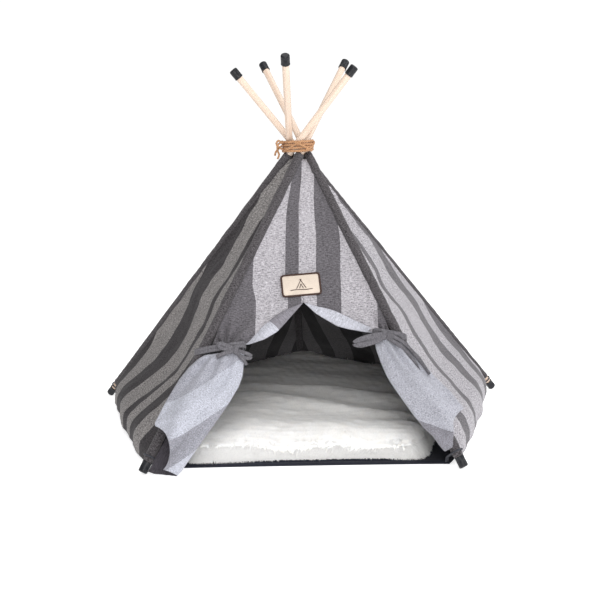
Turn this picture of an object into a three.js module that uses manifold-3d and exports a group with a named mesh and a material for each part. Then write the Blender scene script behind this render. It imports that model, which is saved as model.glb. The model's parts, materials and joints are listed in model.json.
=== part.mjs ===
// Pet teepee: dowel frame, lashing, cover, door curtains, floor sheet and plush cushion.
// Units mm, +Z up, +Y to the back, -X left, origin on the ground under the middle of the tent.
import * as THREE from 'three';
import { mergeVertices } from 'three/addons/utils/BufferGeometryUtils.js';
import Module from 'manifold-3d';

const wasm = await Module();
wasm.setup();

// ---- driving dimensions ----
const DOWEL_R = 5.5;
const POLE_LEN = 752;           // foot end to top end, over the caps
const DOWEL_END_INSET = 2.5;    // dowel end to the outside of its cap
const LASH_Z = 457.4;           // height where the poles cross
const LASH_OFFSET = 13.1;       // each pole axis passes this far from the centre line
const FOOT_BACK = [0, 360];
const FOOT_SIDE = [360.5, 126.4];
const FOOT_FRONT = [230.7, -266.2];
const GROUND_GAP = 0.02;        // lowest point of a foot cap above the ground
const CAP_R = 6.9;
const CAP_LEN = 16.5;
const CAP_BORE_R = 5.8;
const CAP_FLOOR = 2.2;
const CAP_ROUND = 2.4;
const CAP_RIM = [0.5, 0.6];     // chamfer at the open end: radial, axial
const SLEEVE_R = 7.3;
const SLEEVE_BORE_R = 5.85;
const SLEEVE_TOP_GAP = 20;      // sleeve stops this far below the crossing, along the pole

const FABRIC = 1.8;             // sheet thickness
const EDGE_GAP = 10.8;          // sheet edge to pole axis
const PANEL_TOP_Z = 421;
const HEM_Z = 32;               // below this the cover hangs straight down
const HEM_BOTTOM_Z = 3.2;
const DOOR_APEX_Z = 222;
const SEAM_HALF_GAP = 0.35;     // front panel edge to the middle of the front seam
const TIE_HALF_GAP = 0.4;       // half the gap between front panel and curtain
const TIE_Z_LEFT = 158;
const TIE_Z_RIGHT = 172;

const ROPE_R = 2.1;
const ROPE_TAIL_R = 1.9;
const ROPE_COIL_R = 24.2;
const ROPE_PITCH = 4.7;
const ROPE_TURNS = 3.6;
const ROPE_STEPS_PER_TURN = 28;
const ROPE_START_ANGLE = 2.6;   // radians from +X

const LABEL_W = 62;
const LABEL_H = 37;
const LABEL_T = 1.2;
const LABEL_CORNER_R = 5;
const LABEL_Z = 247;
const LABEL_TILT_DEG = 4;
const LABEL_LIFT = 0.55;        // label back above the fabric surface
const LABEL_SHIFT = 4;          // to the left of the seam

const FLOOR_THICK = 1.6;
const FLOOR_INSET = 27;         // floor corner to pole foot
const CORD_R = 1.3;
const CORD_GAP = 0.5;           // cord to the surface it loops around
const CORD_REACH = 13;          // how far the loop is drawn out towards the floor

const CUSHION_R = 312;          // centre to unrounded corner
const CUSHION_Y = 16.6;
const CUSHION_ROUND = 40;
const CUSHION_BASE_Z0 = 2.0;
const CUSHION_BASE_Z1 = 4.0;
const CUSHION_TOP_Z = 44;
const CUSHION_GAP = 0.4;        // vertical gap between cushion layers
const PLUSH_WALL = 5;

const MATERIALS = {
  wood: { color: 0xcba26c, roughness: 0.6 },
  rubber: { color: 0x161618, roughness: 0.55 },
  sleeve: { color: 0x2b2b31, roughness: 0.9 },
  rope: { color: 0xb98d4e, roughness: 0.9 },
  ropeTail: { color: 0xa87c40, roughness: 0.9 },
  cover: { color: 0x6d6f76, roughness: 0.92 },
  curtain: { color: 0x85878e, roughness: 0.92 },
  tie: { color: 0x2f3036, roughness: 0.9 },
  label: { color: 0xe6dcc4, roughness: 0.85 },
  floor: { color: 0x1c1e26, roughness: 0.9 },
  cord: { color: 0xb9bcc4, roughness: 0.8 },
  cushionBase: { color: 0x1b1d27, roughness: 0.9 },
  filling: { color: 0xf3f1ec, roughness: 0.95 },
  plush: { color: 0xf1eee7, roughness: 0.97 },
};

const group = new THREE.Group();
group.name = 'pet_teepee';

function add(name, geometry, finish) {
  const mesh = new THREE.Mesh(geometry, new THREE.MeshStandardMaterial(finish));
  mesh.name = name;
  group.add(mesh);
}

// ---- vector helpers ----
const vec = (x, y, z) => new THREE.Vector3(x, y, z);
const direction = (from, to) => to.clone().sub(from).normalize();
const shifted = (point, along, distance) => point.clone().addScaledVector(along, distance);
const squareTo = (axis, v) => shifted(v, axis, -v.dot(axis)).normalize();
const sineOfLean = (dir) => Math.sqrt(1 - dir.z * dir.z);

// count + 1 evenly spaced points
function pointRow(start, end, count) {
  return Array.from({ length: count + 1 }, (_, j) => start.clone().lerp(end, j / count));
}

// pointAt(angle) at count even steps round a full circle
function ring(count, pointAt) {
  return Array.from({ length: count }, (_, i) => pointAt(2 * Math.PI * i / count));
}

// ---- geometry helpers ----
function signedVolume(positions, indices) {
  const corner = (i) => vec().fromArray(positions, indices[i] * 3);
  let sum = 0;
  for (let i = 0; i < indices.length; i += 3) {
    sum += corner(i).dot(corner(i + 1).cross(corner(i + 2)));
  }
  return sum / 6;
}

// closed solid, with its faces turned outwards if they point in
function solidFrom(positions, indices) {
  if (signedVolume(positions, indices) < 0) {
    for (let i = 0; i < indices.length; i += 3) {
      [indices[i + 1], indices[i + 2]] = [indices[i + 2], indices[i + 1]];
    }
  }
  const geometry = new THREE.BufferGeometry();
  geometry.setAttribute('position', new THREE.Float32BufferAttribute(positions, 3));
  geometry.setIndex(indices);
  geometry.computeVertexNormals();
  return geometry;
}

// joins coincident vertices; normals and uvs would keep them apart
function weld(geometry) {
  geometry.deleteAttribute('normal');
  geometry.deleteAttribute('uv');
  return mergeVertices(geometry, 1e-4);
}

function weldedSolid(geometry) {
  const welded = weld(geometry);
  return solidFrom(Array.from(welded.attributes.position.array), Array.from(welded.index.array));
}

function toManifold(geometry) {
  const welded = weld(geometry);
  return new wasm.Manifold(new wasm.Mesh({
    numProp: 3,
    vertProperties: new Float32Array(welded.attributes.position.array),
    triVerts: new Uint32Array(welded.index.array),
  }));
}

function fromManifold(manifold) {
  const mesh = manifold.getMesh();
  return solidFrom(Array.from(mesh.vertProperties), Array.from(mesh.triVerts));
}

function closedShape(points) {
  const shape = new THREE.Shape(points);
  shape.closePath();
  return shape;
}

// closed sheet from a grid of mid-surface points
function sheet(rows, thickness = FABRIC) {
  const rowCount = rows.length;
  const colCount = rows[0].length;
  const positions = [];
  const indices = [];
  const clamp = THREE.MathUtils.clamp;
  const at = (i, j) => rows[clamp(i, 0, rowCount - 1)][clamp(j, 0, colCount - 1)];
  for (const side of [1, -1]) {
    for (let i = 0; i < rowCount; i++) {
      for (let j = 0; j < colCount; j++) {
        const downRows = at(i + 1, j).clone().sub(at(i - 1, j));
        const alongRow = at(i, j + 1).clone().sub(at(i, j - 1));
        const normal = downRows.cross(alongRow).normalize();
        positions.push(...shifted(at(i, j), normal, side * thickness / 2));
      }
    }
  }

  const near = (i, j) => i * colCount + j;
  const far = (i, j) => rowCount * colCount + near(i, j);
  for (let i = 0; i < rowCount - 1; i++) {
    for (let j = 0; j < colCount - 1; j++) {
      indices.push(near(i, j), near(i + 1, j), near(i + 1, j + 1));
      indices.push(near(i, j), near(i + 1, j + 1), near(i, j + 1));
      indices.push(far(i, j), far(i + 1, j + 1), far(i + 1, j));
      indices.push(far(i, j), far(i, j + 1), far(i + 1, j + 1));
    }
  }

  const rim = [];
  for (let j = 0; j < colCount - 1; j++) rim.push([0, j]);
  for (let i = 0; i < rowCount - 1; i++) rim.push([i, colCount - 1]);
  for (let j = colCount - 1; j > 0; j--) rim.push([rowCount - 1, j]);
  for (let i = rowCount - 1; i > 0; i--) rim.push([i, 0]);
  rim.forEach((here, k) => {
    const next = rim[(k + 1) % rim.length];
    indices.push(near(...here), near(...next), far(...next));
    indices.push(near(...here), far(...next), far(...here));
  });
  return solidFrom(positions, indices);
}

// elliptical section swept along a path: upRadius along `up`, sideRadius across it
function sweep({ path, closed = false, up, upRadius, sideRadius = upRadius, segments }) {
  const count = path.length;
  const positions = [];
  const indices = [];
  const pointAt = (i) => path[closed
    ? (i + count) % count
    : THREE.MathUtils.clamp(i, 0, count - 1)];
  for (let i = 0; i < count; i++) {
    const tangent = direction(pointAt(i - 1), pointAt(i + 1));
    const upward = squareTo(tangent, up);
    const sideways = tangent.clone().cross(upward);
    for (let k = 0; k < segments; k++) {
      const angle = 2 * Math.PI * k / segments;
      const point = shifted(path[i], upward, upRadius * Math.cos(angle));
      positions.push(...point.addScaledVector(sideways, sideRadius * Math.sin(angle)));
    }
  }

  const vertex = (i, k) => (i % count) * segments + k % segments;
  for (let i = 0; i < (closed ? count : count - 1); i++) {
    for (let k = 0; k < segments; k++) {
      indices.push(vertex(i, k), vertex(i, k + 1), vertex(i + 1, k + 1));
      indices.push(vertex(i, k), vertex(i + 1, k + 1), vertex(i + 1, k));
    }
  }
  if (!closed) {
    for (const end of [0, count - 1]) {
      const centre = positions.length / 3;
      positions.push(...path[end]);
      for (let k = 0; k < segments; k++) {
        const edge = [vertex(end, k), vertex(end, k + 1)];
        if (end === 0) edge.reverse();
        indices.push(centre, ...edge);
      }
    }
  }
  return solidFrom(positions, indices);
}

// solid of revolution from [radius, height] points, its axis along dir from base
function turned(profile, base, dir, segments) {
  const points = profile.map(([radius, height]) => new THREE.Vector2(radius, height));
  const welded = weld(new THREE.LatheGeometry(points, segments));
  welded.applyQuaternion(new THREE.Quaternion().setFromUnitVectors(vec(0, 1, 0), dir));
  welded.translate(base.x, base.y, base.z);
  // welding on the axis collapses some triangles, which are left out
  const indices = [];
  for (let i = 0; i < welded.index.array.length; i += 3) {
    const triangle = welded.index.array.slice(i, i + 3);
    if (new Set(triangle).size === 3) indices.push(...triangle);
  }
  return solidFrom(Array.from(welded.attributes.position.array), indices);
}

// ---- poles ----
// [radius, height] from the closed end
const CAP_PROFILE = [[0, 0]];
for (let k = 0; k <= 5; k++) {
  const angle = (k / 5) * Math.PI / 2;
  CAP_PROFILE.push([
    CAP_R - CAP_ROUND + CAP_ROUND * Math.sin(angle),
    CAP_ROUND - CAP_ROUND * Math.cos(angle),
  ]);
}
CAP_PROFILE.push(
  [CAP_R, CAP_LEN - CAP_RIM[1]], [CAP_R - CAP_RIM[0], CAP_LEN],
  [CAP_BORE_R, CAP_LEN], [CAP_BORE_R, CAP_FLOOR], [0, CAP_FLOOR],
);

// Along the pole from the cap's open end: bare = dowel left uncovered, loop = cord loop.
// Side loops go round the bare dowel, the others round the sleeve.
const SIDE_POLE = { bare: 11, loop: 5.5, loopOver: DOWEL_R };
const OTHER_POLE = { bare: 1.5, loop: 8, loopOver: SLEEVE_R };
const mirrored = ([x, y]) => [-x, y];

function makePole(footXY, fittings) {
  const azimuth = Math.atan2(footXY[1], footXY[0]);
  const waist = vec(-Math.sin(azimuth), Math.cos(azimuth), 0)
    .multiplyScalar(LASH_OFFSET)
    .setZ(LASH_Z);
  const foot = vec(...footXY, 4.4);
  let dir = direction(foot, waist);
  // foot height and lean depend on each other, so settle them in a few rounds
  for (let round = 0; round < 3; round++) {
    const sine = sineOfLean(dir);
    const drops = CAP_PROFILE.map(([radius, height]) => height * dir.z - radius * sine);
    foot.z = GROUND_GAP - Math.min(...drops);
    dir = direction(foot, waist);
  }
  return {
    ...fittings,
    foot,
    dir,
    toWaist: waist.distanceTo(foot),
    at: (distance) => shifted(foot, dir, distance),
    atZ: (z) => shifted(foot, dir, (z - foot.z) / dir.z),
  };
}

const poles = {
  back: makePole(FOOT_BACK, OTHER_POLE),
  side_left: makePole(mirrored(FOOT_SIDE), SIDE_POLE),
  front_left: makePole(mirrored(FOOT_FRONT), OTHER_POLE),
  front_right: makePole(FOOT_FRONT, OTHER_POLE),
  side_right: makePole(FOOT_SIDE, SIDE_POLE),
};

function tube(boreR, outerR, length) {
  return [[boreR, 0], [outerR, 0], [outerR, length], [boreR, length], [boreR, 0]];
}

function addPole(key, { foot, dir, at, bare, toWaist }) {
  const dowelLen = POLE_LEN - 2 * DOWEL_END_INSET;
  const dowel = [[0, 0], [DOWEL_R, 0], [DOWEL_R, dowelLen], [0, dowelLen]];
  add(`pole_${key}`, turned(dowel, at(DOWEL_END_INSET), dir, 24), MATERIALS.wood);
  add(`cap_foot_${key}`, turned(CAP_PROFILE, foot, dir, 20), MATERIALS.rubber);
  const down = dir.clone().negate();
  add(`cap_top_${key}`, turned(CAP_PROFILE, at(POLE_LEN), down, 20), MATERIALS.rubber);
  const sleeveStart = CAP_LEN + bare;
  const sleeve = tube(SLEEVE_BORE_R, SLEEVE_R, toWaist - SLEEVE_TOP_GAP - sleeveStart);
  add(`sleeve_${key}`, turned(sleeve, at(sleeveStart), dir, 20), MATERIALS.sleeve);
}

// ---- lashing ----
function lashingCoil() {
  const path = [];
  const steps = Math.round(ROPE_TURNS * ROPE_STEPS_PER_TURN);
  for (let i = 0; i <= steps; i++) {
    const turns = i / ROPE_STEPS_PER_TURN;
    const angle = turns * 2 * Math.PI + ROPE_START_ANGLE;
    path.push(vec(
      ROPE_COIL_R * Math.cos(angle),
      ROPE_COIL_R * Math.sin(angle),
      LASH_Z + ROPE_PITCH * (turns - ROPE_TURNS / 2),
    ));
  }
  return sweep({ path, up: vec(0, 0, 1), upRadius: ROPE_R, segments: 8 });
}

// x, y, height above the crossing
const ROPE_TAIL = [
  [-23.5, -17, 7], [-28.5, -13.5, 5], [-31.5, -12, -1], [-29.5, -13, -9], [-32, -15, -16],
];

function ropeTail() {
  const curve = new THREE.CatmullRomCurve3(ROPE_TAIL.map(([x, y, z]) => vec(x, y, LASH_Z + z)));
  const path = curve.getSpacedPoints(20);
  return sweep({ path, up: vec(0.2, 1, 0.1), upRadius: ROPE_TAIL_R, segments: 10 });
}

// ---- side and back cover panels ----
const PANEL_LEVELS = [
  PANEL_TOP_Z, 380, 330, 280, 230, 180, 130, 90, 55, 38, HEM_Z, 26, 14, HEM_BOTTOM_Z,
];
// name, then the two poles it spans
const PANELS = [
  ['panel_back_left', 'back', 'side_left'],
  ['panel_side_left', 'side_left', 'front_left'],
  ['panel_back_right', 'side_right', 'back'],
  ['panel_side_right', 'front_right', 'side_right'],
];

function coverPanel(poleA, poleB) {
  return sheet(PANEL_LEVELS.map((z) => {
    const spanZ = Math.max(z, HEM_Z);
    const a = poleA.atZ(spanZ);
    const b = poleB.atZ(spanZ);
    const across = direction(a, b);
    const row = pointRow(shifted(a, across, EDGE_GAP), shifted(b, across, -EDGE_GAP), 8);
    if (z < HEM_Z) row.forEach((point) => point.setZ(z));
    return row;
  }));
}

// ---- front halves: panel from the top down to the tie, curtain below it ----
const FRONT_TOP_LEVELS = [PANEL_TOP_Z, 380, 340, 300, 260, DOOR_APEX_Z + 0.8];

// freeEdge: z, x, y down the door edge. Levels: z of the sheet rows.
// tails: offsets of the tie's two tails from its knot.
const FRONT_HALVES = {
  left: {
    pole: poles.front_left,
    tieZ: TIE_Z_LEFT,
    freeEdge: [
      [221, 3.6, -138.9], [200, -19, -151], [184, -36, -161], [173, -56, -167.5],
      [168, -74, -171], [166.5, -86, -172.7], [149.5, -86, -182.6], [143, -86, -187.5],
      [125, -88, -202], [112, -93, -213.5], [92, -106, -232], [75, -119, -245],
      [46, -142, -268], [14, -167, -295], [4, -175, -303],
    ],
    panelLevels: [212, 200, 184, 173, 168, 166.5],
    curtainLevels: [149.5, 143, 125, 112, 92, 75, 46, 24, 4],
    tails: [
      [[0, -2, -2], [3, -7, -10], [2, -12, -24], [-3, -17, -36]],
      [[0, -2, -2], [8, -6, -7], [10, -11, -20], [7, -16, -30]],
    ],
  },
  right: {
    pole: poles.front_right,
    tieZ: TIE_Z_RIGHT,
    freeEdge: [
      [221, 6.2, -138.9], [208, 22.5, -146], [190, 55, -156], [185, 72, -159],
      [182, 92, -161], [180.5, 112, -161.5], [163.5, 112, -171.4], [157, 112.5, -176],
      [138, 119, -189], [121, 126, -202], [105, 136, -214], [91, 146, -225],
      [74, 159, -238.5], [58, 172, -250.5], [45, 186, -262], [30, 200, -275],
    ],
    panelLevels: [215, 208, 190, 185, 182, 180.5],
    curtainLevels: [163.5, 157, 138, 121, 105, 91, 74, 58, 45, 34],
    tails: [
      [[0, -2, 0], [-12, -5, 3], [-24, -8, 2], [-31, -9, -2]],
      [[2, -3, -2], [12, -13, -12], [30, -27, -24], [48, -38, -33]],
    ],
  },
};

// value of a column at height z in a table whose first column is falling z
function readTable(table, z, column) {
  for (let i = 0; i < table.length - 1; i++) {
    const [above, below] = [table[i], table[i + 1]];
    if (z <= above[0] && z >= below[0]) {
      const fraction = (above[0] - z) / (above[0] - below[0]);
      return above[column] + (below[column] - above[column]) * fraction;
    }
  }
  return (z > table[0][0] ? table[0] : table[table.length - 1])[column];
}

// z, sheet edge to pole axis: wider around the tie
function poleGaps(tieZ) {
  return [
    [DOOR_APEX_Z - 1, EDGE_GAP], [tieZ + 19, 12], [tieZ + 9, 16],
    [tieZ - 9, 16], [tieZ - 21, 12], [4, EDGE_GAP],
  ];
}

const edgePoint = ({ freeEdge }, z) => vec(readTable(freeEdge, z, 1), readTable(freeEdge, z, 2), z);

// middle of the front face between its two poles
const seam = (z) => poles.front_left.atZ(z).lerp(poles.front_right.atZ(z), 0.5);

function frontSheet(half, levels) {
  return sheet(levels.map((z) => {
    const aboveDoor = z > DOOR_APEX_Z;
    const axisPoint = half.pole.atZ(z);
    const edge = aboveDoor ? seam(z) : edgePoint(half, z);
    const across = direction(axisPoint, edge);
    if (aboveDoor) edge.addScaledVector(across, -SEAM_HALF_GAP);
    const gap = readTable(poleGaps(half.tieZ), z, 1);
    return pointRow(shifted(axisPoint, across, gap), edge, 6);
  }));
}

const frontPanel = (half) => frontSheet(
  half,
  [...FRONT_TOP_LEVELS, ...half.panelLevels, half.tieZ + TIE_HALF_GAP],
);
const curtain = (half) => frontSheet(half, [half.tieZ - TIE_HALF_GAP, ...half.curtainLevels]);

// ---- curtain ties: strap loop with knot and tails ----
const TIE = {
  poleClearance: 11.9,          // pole axis to the near end of the loop
  edgeOverhang: 4.6,            // loop beyond the curtain's free edge
  halfDepth: 7.4,
  squareness: 0.7,              // exponent below 1 squares off the oval loop
  strap: { upRadius: 4.2, sideRadius: 1.1, segments: 10 },
  tail: { upRadius: 3.4, sideRadius: 1.2, segments: 10 },
  knotR: 6,
  knotOffset: 4.5,              // end of the loop to knot centre
};

function curtainTie(half) {
  const axisPoint = half.pole.atZ(half.tieZ);
  const edge = edgePoint(half, half.tieZ);
  const along = direction(axisPoint, edge);
  const up = squareTo(along, vec(0, 0.5, 0.866));
  const through = along.clone().cross(up);
  const loopStart = TIE.poleClearance;
  const loopEnd = edge.distanceTo(axisPoint) + TIE.edgeOverhang;
  const centre = shifted(axisPoint, along, (loopStart + loopEnd) / 2);
  const halfLength = (loopEnd - loopStart) / 2;
  const squared = (value) => Math.sign(value) * Math.abs(value) ** TIE.squareness;
  const loop = ring(32, (angle) => shifted(centre, along, halfLength * squared(Math.cos(angle)))
    .addScaledVector(through, TIE.halfDepth * squared(Math.sin(angle))));
  const knotCentre = shifted(centre, along, halfLength + TIE.knotOffset);
  const knot = new THREE.SphereGeometry(TIE.knotR, 16, 12).translate(...knotCentre);

  let body = toManifold(sweep({ path: loop, closed: true, up, ...TIE.strap }));
  body = body.add(toManifold(knot));
  for (const offsets of half.tails) {
    const points = offsets.map((offset) => knotCentre.clone().add(vec(...offset)));
    const path = new THREE.CatmullRomCurve3(points).getSpacedPoints(14);
    body = body.add(toManifold(sweep({ path, up: vec(0.3, -0.2, 1), ...TIE.tail })));
  }
  return fromManifold(body);
}

// ---- label patch ----
function labelPatch() {
  const x = LABEL_W / 2 - LABEL_CORNER_R;
  const y = LABEL_H / 2 - LABEL_CORNER_R;
  const r = LABEL_CORNER_R;
  const shape = new THREE.Shape();
  shape.moveTo(-x, -y - r);
  shape.lineTo(x, -y - r);
  shape.absarc(x, -y, r, -Math.PI / 2, 0, false);
  shape.lineTo(x + r, y);
  shape.absarc(x, y, r, 0, Math.PI / 2, false);
  shape.lineTo(-x, y + r);
  shape.absarc(-x, y, r, Math.PI / 2, Math.PI, false);
  shape.lineTo(-x - r, -y);
  shape.absarc(-x, -y, r, Math.PI, 1.5 * Math.PI, false);
  const patch = new THREE.ExtrudeGeometry(shape, {
    depth: LABEL_T, bevelEnabled: false, curveSegments: 6,
  });
  patch.rotateZ(THREE.MathUtils.degToRad(LABEL_TILT_DEG));

  const right = direction(poles.front_left.atZ(LABEL_Z), poles.front_right.atZ(LABEL_Z));
  const seamUp = direction(seam(LABEL_Z - 10), seam(LABEL_Z + 10));
  const outward = right.clone().cross(seamUp).normalize();
  const up = outward.clone().cross(right).normalize();
  const place = shifted(seam(LABEL_Z), outward, FABRIC / 2 + LABEL_LIFT)
    .addScaledVector(right, -LABEL_SHIFT);
  patch.applyMatrix4(new THREE.Matrix4().makeBasis(right, up, outward).setPosition(place));
  return weldedSolid(patch);
}

// ---- floor sheet and corner loops ----
function floorSheet() {
  const corners = Object.values(poles).map(({ foot }) => {
    const radius = Math.hypot(foot.x, foot.y);
    const scale = (radius - FLOOR_INSET) / radius;
    return new THREE.Vector2(foot.x * scale, foot.y * scale);
  });
  const options = { depth: FLOOR_THICK, bevelEnabled: false };
  return weldedSolid(new THREE.ExtrudeGeometry(closedShape(corners), options));
}

// cord round the pole, drawn out inwards and down
function cornerLoop({ at, dir, loop, loopOver }) {
  const radius = loopOver + CORD_GAP + CORD_R;
  const centre = at(CAP_LEN + loop);
  const inward = vec(dir.x, dir.y, 0).normalize()
    .multiplyScalar(dir.z)
    .add(vec(0, 0, -sineOfLean(dir)));
  const sideways = dir.clone().cross(inward).normalize();
  const path = ring(36, (angle) => {
    const reach = CORD_REACH * Math.max(0, Math.cos(angle)) ** 3;
    return shifted(centre, inward, radius * Math.cos(angle) + reach)
      .addScaledVector(sideways, radius * Math.sin(angle));
  });
  return sweep({ path, closed: true, up: dir, upRadius: CORD_R, segments: 8 });
}

// ---- cushion ----
// regular pentagon with a corner to the back, each corner an arc of six steps
function roundedPentagon(radius, rounding) {
  const arcCentreR = radius - rounding / Math.sin(THREE.MathUtils.degToRad(54));
  const points = [];
  for (let i = 0; i < 5; i++) {
    const cornerAngle = Math.PI / 2 + (2 * Math.PI * i) / 5;
    for (let k = 0; k <= 6; k++) {
      const angle = cornerAngle + (k / 6 - 0.5) * 2 * Math.PI / 5;
      points.push(new THREE.Vector2(
        arcCentreR * Math.cos(cornerAngle) + rounding * Math.cos(angle),
        CUSHION_Y + arcCentreR * Math.sin(cornerAngle) + rounding * Math.sin(angle),
      ));
    }
  }
  return closedShape(points);
}

function slab({ radius = CUSHION_R, rounding = CUSHION_ROUND, bottom, top, bevel = 0 }) {
  const block = new THREE.ExtrudeGeometry(roundedPentagon(radius - bevel, rounding), {
    depth: top - bottom - 2 * bevel,
    bevelEnabled: bevel > 0,
    bevelSize: bevel,
    bevelThickness: bevel,
    bevelSegments: 4,
  });
  block.translate(0, 0, bottom + bevel);
  return weldedSolid(block);
}

const COVER_BOTTOM_Z = CUSHION_BASE_Z1 + CUSHION_GAP;
const FILLING_INSET = PLUSH_WALL + 1;

const cushionBase = () => slab({ bottom: CUSHION_BASE_Z0, top: CUSHION_BASE_Z1 });

const cushionFilling = () => slab({
  radius: CUSHION_R - FILLING_INSET,
  rounding: CUSHION_ROUND - FILLING_INSET,
  bottom: COVER_BOTTOM_Z,
  top: CUSHION_TOP_Z - PLUSH_WALL - CUSHION_GAP,
  bevel: 4,
});

// open-bottomed shell; the outer slab starts low so the trim removes its lower bevel
function cushionCover() {
  const outer = slab({ bottom: COVER_BOTTOM_Z - 12, top: CUSHION_TOP_Z, bevel: 10 });
  const trim = slab({ radius: CUSHION_R + 40, bottom: -60, top: COVER_BOTTOM_Z });
  const inner = slab({
    radius: CUSHION_R - PLUSH_WALL,
    rounding: CUSHION_ROUND - PLUSH_WALL,
    bottom: -80,
    top: CUSHION_TOP_Z - PLUSH_WALL,
    bevel: 4,
  });
  return fromManifold(toManifold(outer).subtract(toManifold(trim)).subtract(toManifold(inner)));
}

// ---- assembly ----
for (const [key, pole] of Object.entries(poles)) addPole(key, pole);
add('lashing_rope', lashingCoil(), MATERIALS.rope);
add('rope_tail', ropeTail(), MATERIALS.ropeTail);
for (const [name, a, b] of PANELS) add(name, coverPanel(poles[a], poles[b]), MATERIALS.cover);
for (const [prefix, build, finish] of [
  ['front_panel', frontPanel, MATERIALS.cover],
  ['curtain', curtain, MATERIALS.curtain],
  ['tie', curtainTie, MATERIALS.tie],
]) {
  for (const [side, half] of Object.entries(FRONT_HALVES)) {
    add(`${prefix}_${side}`, build(half), finish);
  }
}
add('label_patch', labelPatch(), MATERIALS.label);
add('floor_sheet', floorSheet(), MATERIALS.floor);
for (const [key, pole] of Object.entries(poles)) {
  add(`corner_loop_${key}`, cornerLoop(pole), MATERIALS.cord);
}
add('cushion_base', cushionBase(), MATERIALS.cushionBase);
add('cushion_filling', cushionFilling(), MATERIALS.filling);
add('cushion_cover', cushionCover(), MATERIALS.plush);

export default group;
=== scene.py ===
# A cloth tent on five crossed poles, with a curtained door and a plush cushion, in metres.
# It stands on z = 0 around the z axis: the back pole is at +Y, the door faces -Y, left is -X.
import json
import math
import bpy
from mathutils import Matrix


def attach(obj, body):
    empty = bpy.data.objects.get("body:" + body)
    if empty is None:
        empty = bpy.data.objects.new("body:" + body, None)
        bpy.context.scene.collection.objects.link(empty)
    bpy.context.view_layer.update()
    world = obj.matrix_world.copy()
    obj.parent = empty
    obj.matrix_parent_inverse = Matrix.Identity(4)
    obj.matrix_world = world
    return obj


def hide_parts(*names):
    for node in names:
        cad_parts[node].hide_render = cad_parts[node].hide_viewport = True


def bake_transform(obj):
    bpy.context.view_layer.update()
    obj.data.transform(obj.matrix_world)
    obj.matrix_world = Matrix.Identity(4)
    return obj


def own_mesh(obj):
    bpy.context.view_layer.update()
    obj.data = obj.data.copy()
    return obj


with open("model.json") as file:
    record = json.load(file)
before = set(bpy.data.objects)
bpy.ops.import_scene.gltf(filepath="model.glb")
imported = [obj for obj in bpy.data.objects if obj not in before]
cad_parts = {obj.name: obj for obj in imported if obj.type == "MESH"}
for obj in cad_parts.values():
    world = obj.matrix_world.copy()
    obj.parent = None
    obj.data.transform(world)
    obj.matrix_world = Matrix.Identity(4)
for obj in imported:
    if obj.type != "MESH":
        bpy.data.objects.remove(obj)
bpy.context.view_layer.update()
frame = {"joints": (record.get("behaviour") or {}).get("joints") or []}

from types import SimpleNamespace

import bmesh
import bpy
import numpy as np
from mathutils import Matrix, Vector


joints = {joint["name"]: joint for joint in frame["joints"]}
UP = np.array([0, 0, 1.0])


# ------------------------------------------------------------------ numbers and curves
def unit(v):
    v = np.asarray(v, float)
    return v / np.linalg.norm(v)


def unit_rows(v):
    return v / np.maximum(np.linalg.norm(v, axis=-1, keepdims=True), 1e-12)


def smoothstep(a, b, x):
    t = np.clip((np.asarray(x, float) - a) / (b - a), 0, 1)
    return t * t * (3 - 2 * t)


def ripple(points, seed, freq):
    """Smooth random waves through space: seven sines in random directions."""
    waves = 7
    rng = np.random.default_rng(seed)
    directions = unit_rows(rng.normal(size=(waves, 3)))
    phase = rng.uniform(0, 2 * np.pi, waves)
    rate = freq * rng.uniform(0.6, 1.5, waves)
    angle = (np.asarray(points) @ directions.T) * rate * 2 * np.pi + phase
    return np.sin(angle).sum(-1) / math.sqrt(waves)


def arc_length(points):
    steps = np.linalg.norm(np.diff(points, axis=0), axis=1)
    return np.concatenate([[0], np.cumsum(steps)])


def spline(points, count):
    """Catmull-Rom curve through the points."""
    points = np.asarray(points, float)
    lengths = arc_length(points)
    ends = 2 * points[0] - points[1], 2 * points[-1] - points[-2]
    padded = np.vstack([ends[0], points, ends[1]])
    curve = []
    for t in np.linspace(0, lengths[-1], count):
        i = min(np.searchsorted(lengths, t, side="right") - 1, len(points) - 2)
        u = (t - lengths[i]) / (lengths[i + 1] - lengths[i])
        p0, p1, p2, p3 = padded[i:i + 4]
        curve.append(0.5 * (2 * p1 + (p2 - p0) * u + (2 * p0 - 5 * p1 + 4 * p2 - p3) * u * u
                            + (3 * p1 - p0 - 3 * p2 + p3) * u ** 3))
    return np.array(curve)


def path_axes(points, up, closed=False):
    """Two unit vectors square to the path at each point, the first nearest to up."""
    if closed:
        tangent = np.roll(points, -1, 0) - np.roll(points, 1, 0)
    else:
        tangent = np.gradient(points, axis=0)
    tangent = unit_rows(tangent)
    up = np.broadcast_to(np.asarray(up, float), points.shape)
    first = unit_rows(up - tangent * (up * tangent).sum(1)[:, None])
    return first, np.cross(tangent, first)


def ring_angles(seg):
    return np.arange(seg) * 2 * np.pi / seg


# ------------------------------------------------------------------ mesh helpers
def ring_rows(count, seg, start=0):
    """Vertex indices of count rings of seg points, numbered from start."""
    return (start + np.arange(count * seg).reshape(count, seg)).tolist()


def fan(centre, ring):
    return [(centre, b, a) for a, b in zip(ring, ring[1:] + ring[:1])]


def bridge(*rings):
    """Quads joining each ring to the next."""
    faces = []
    for a, b in zip(rings, rings[1:]):
        faces += zip(a, a[1:] + a[:1], b[1:] + b[:1], b)
    return faces


def read_vectors(items, key="co"):
    flat = np.zeros(len(items) * 3)
    items.foreach_get(key, flat)
    return flat.reshape(-1, 3)


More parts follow.
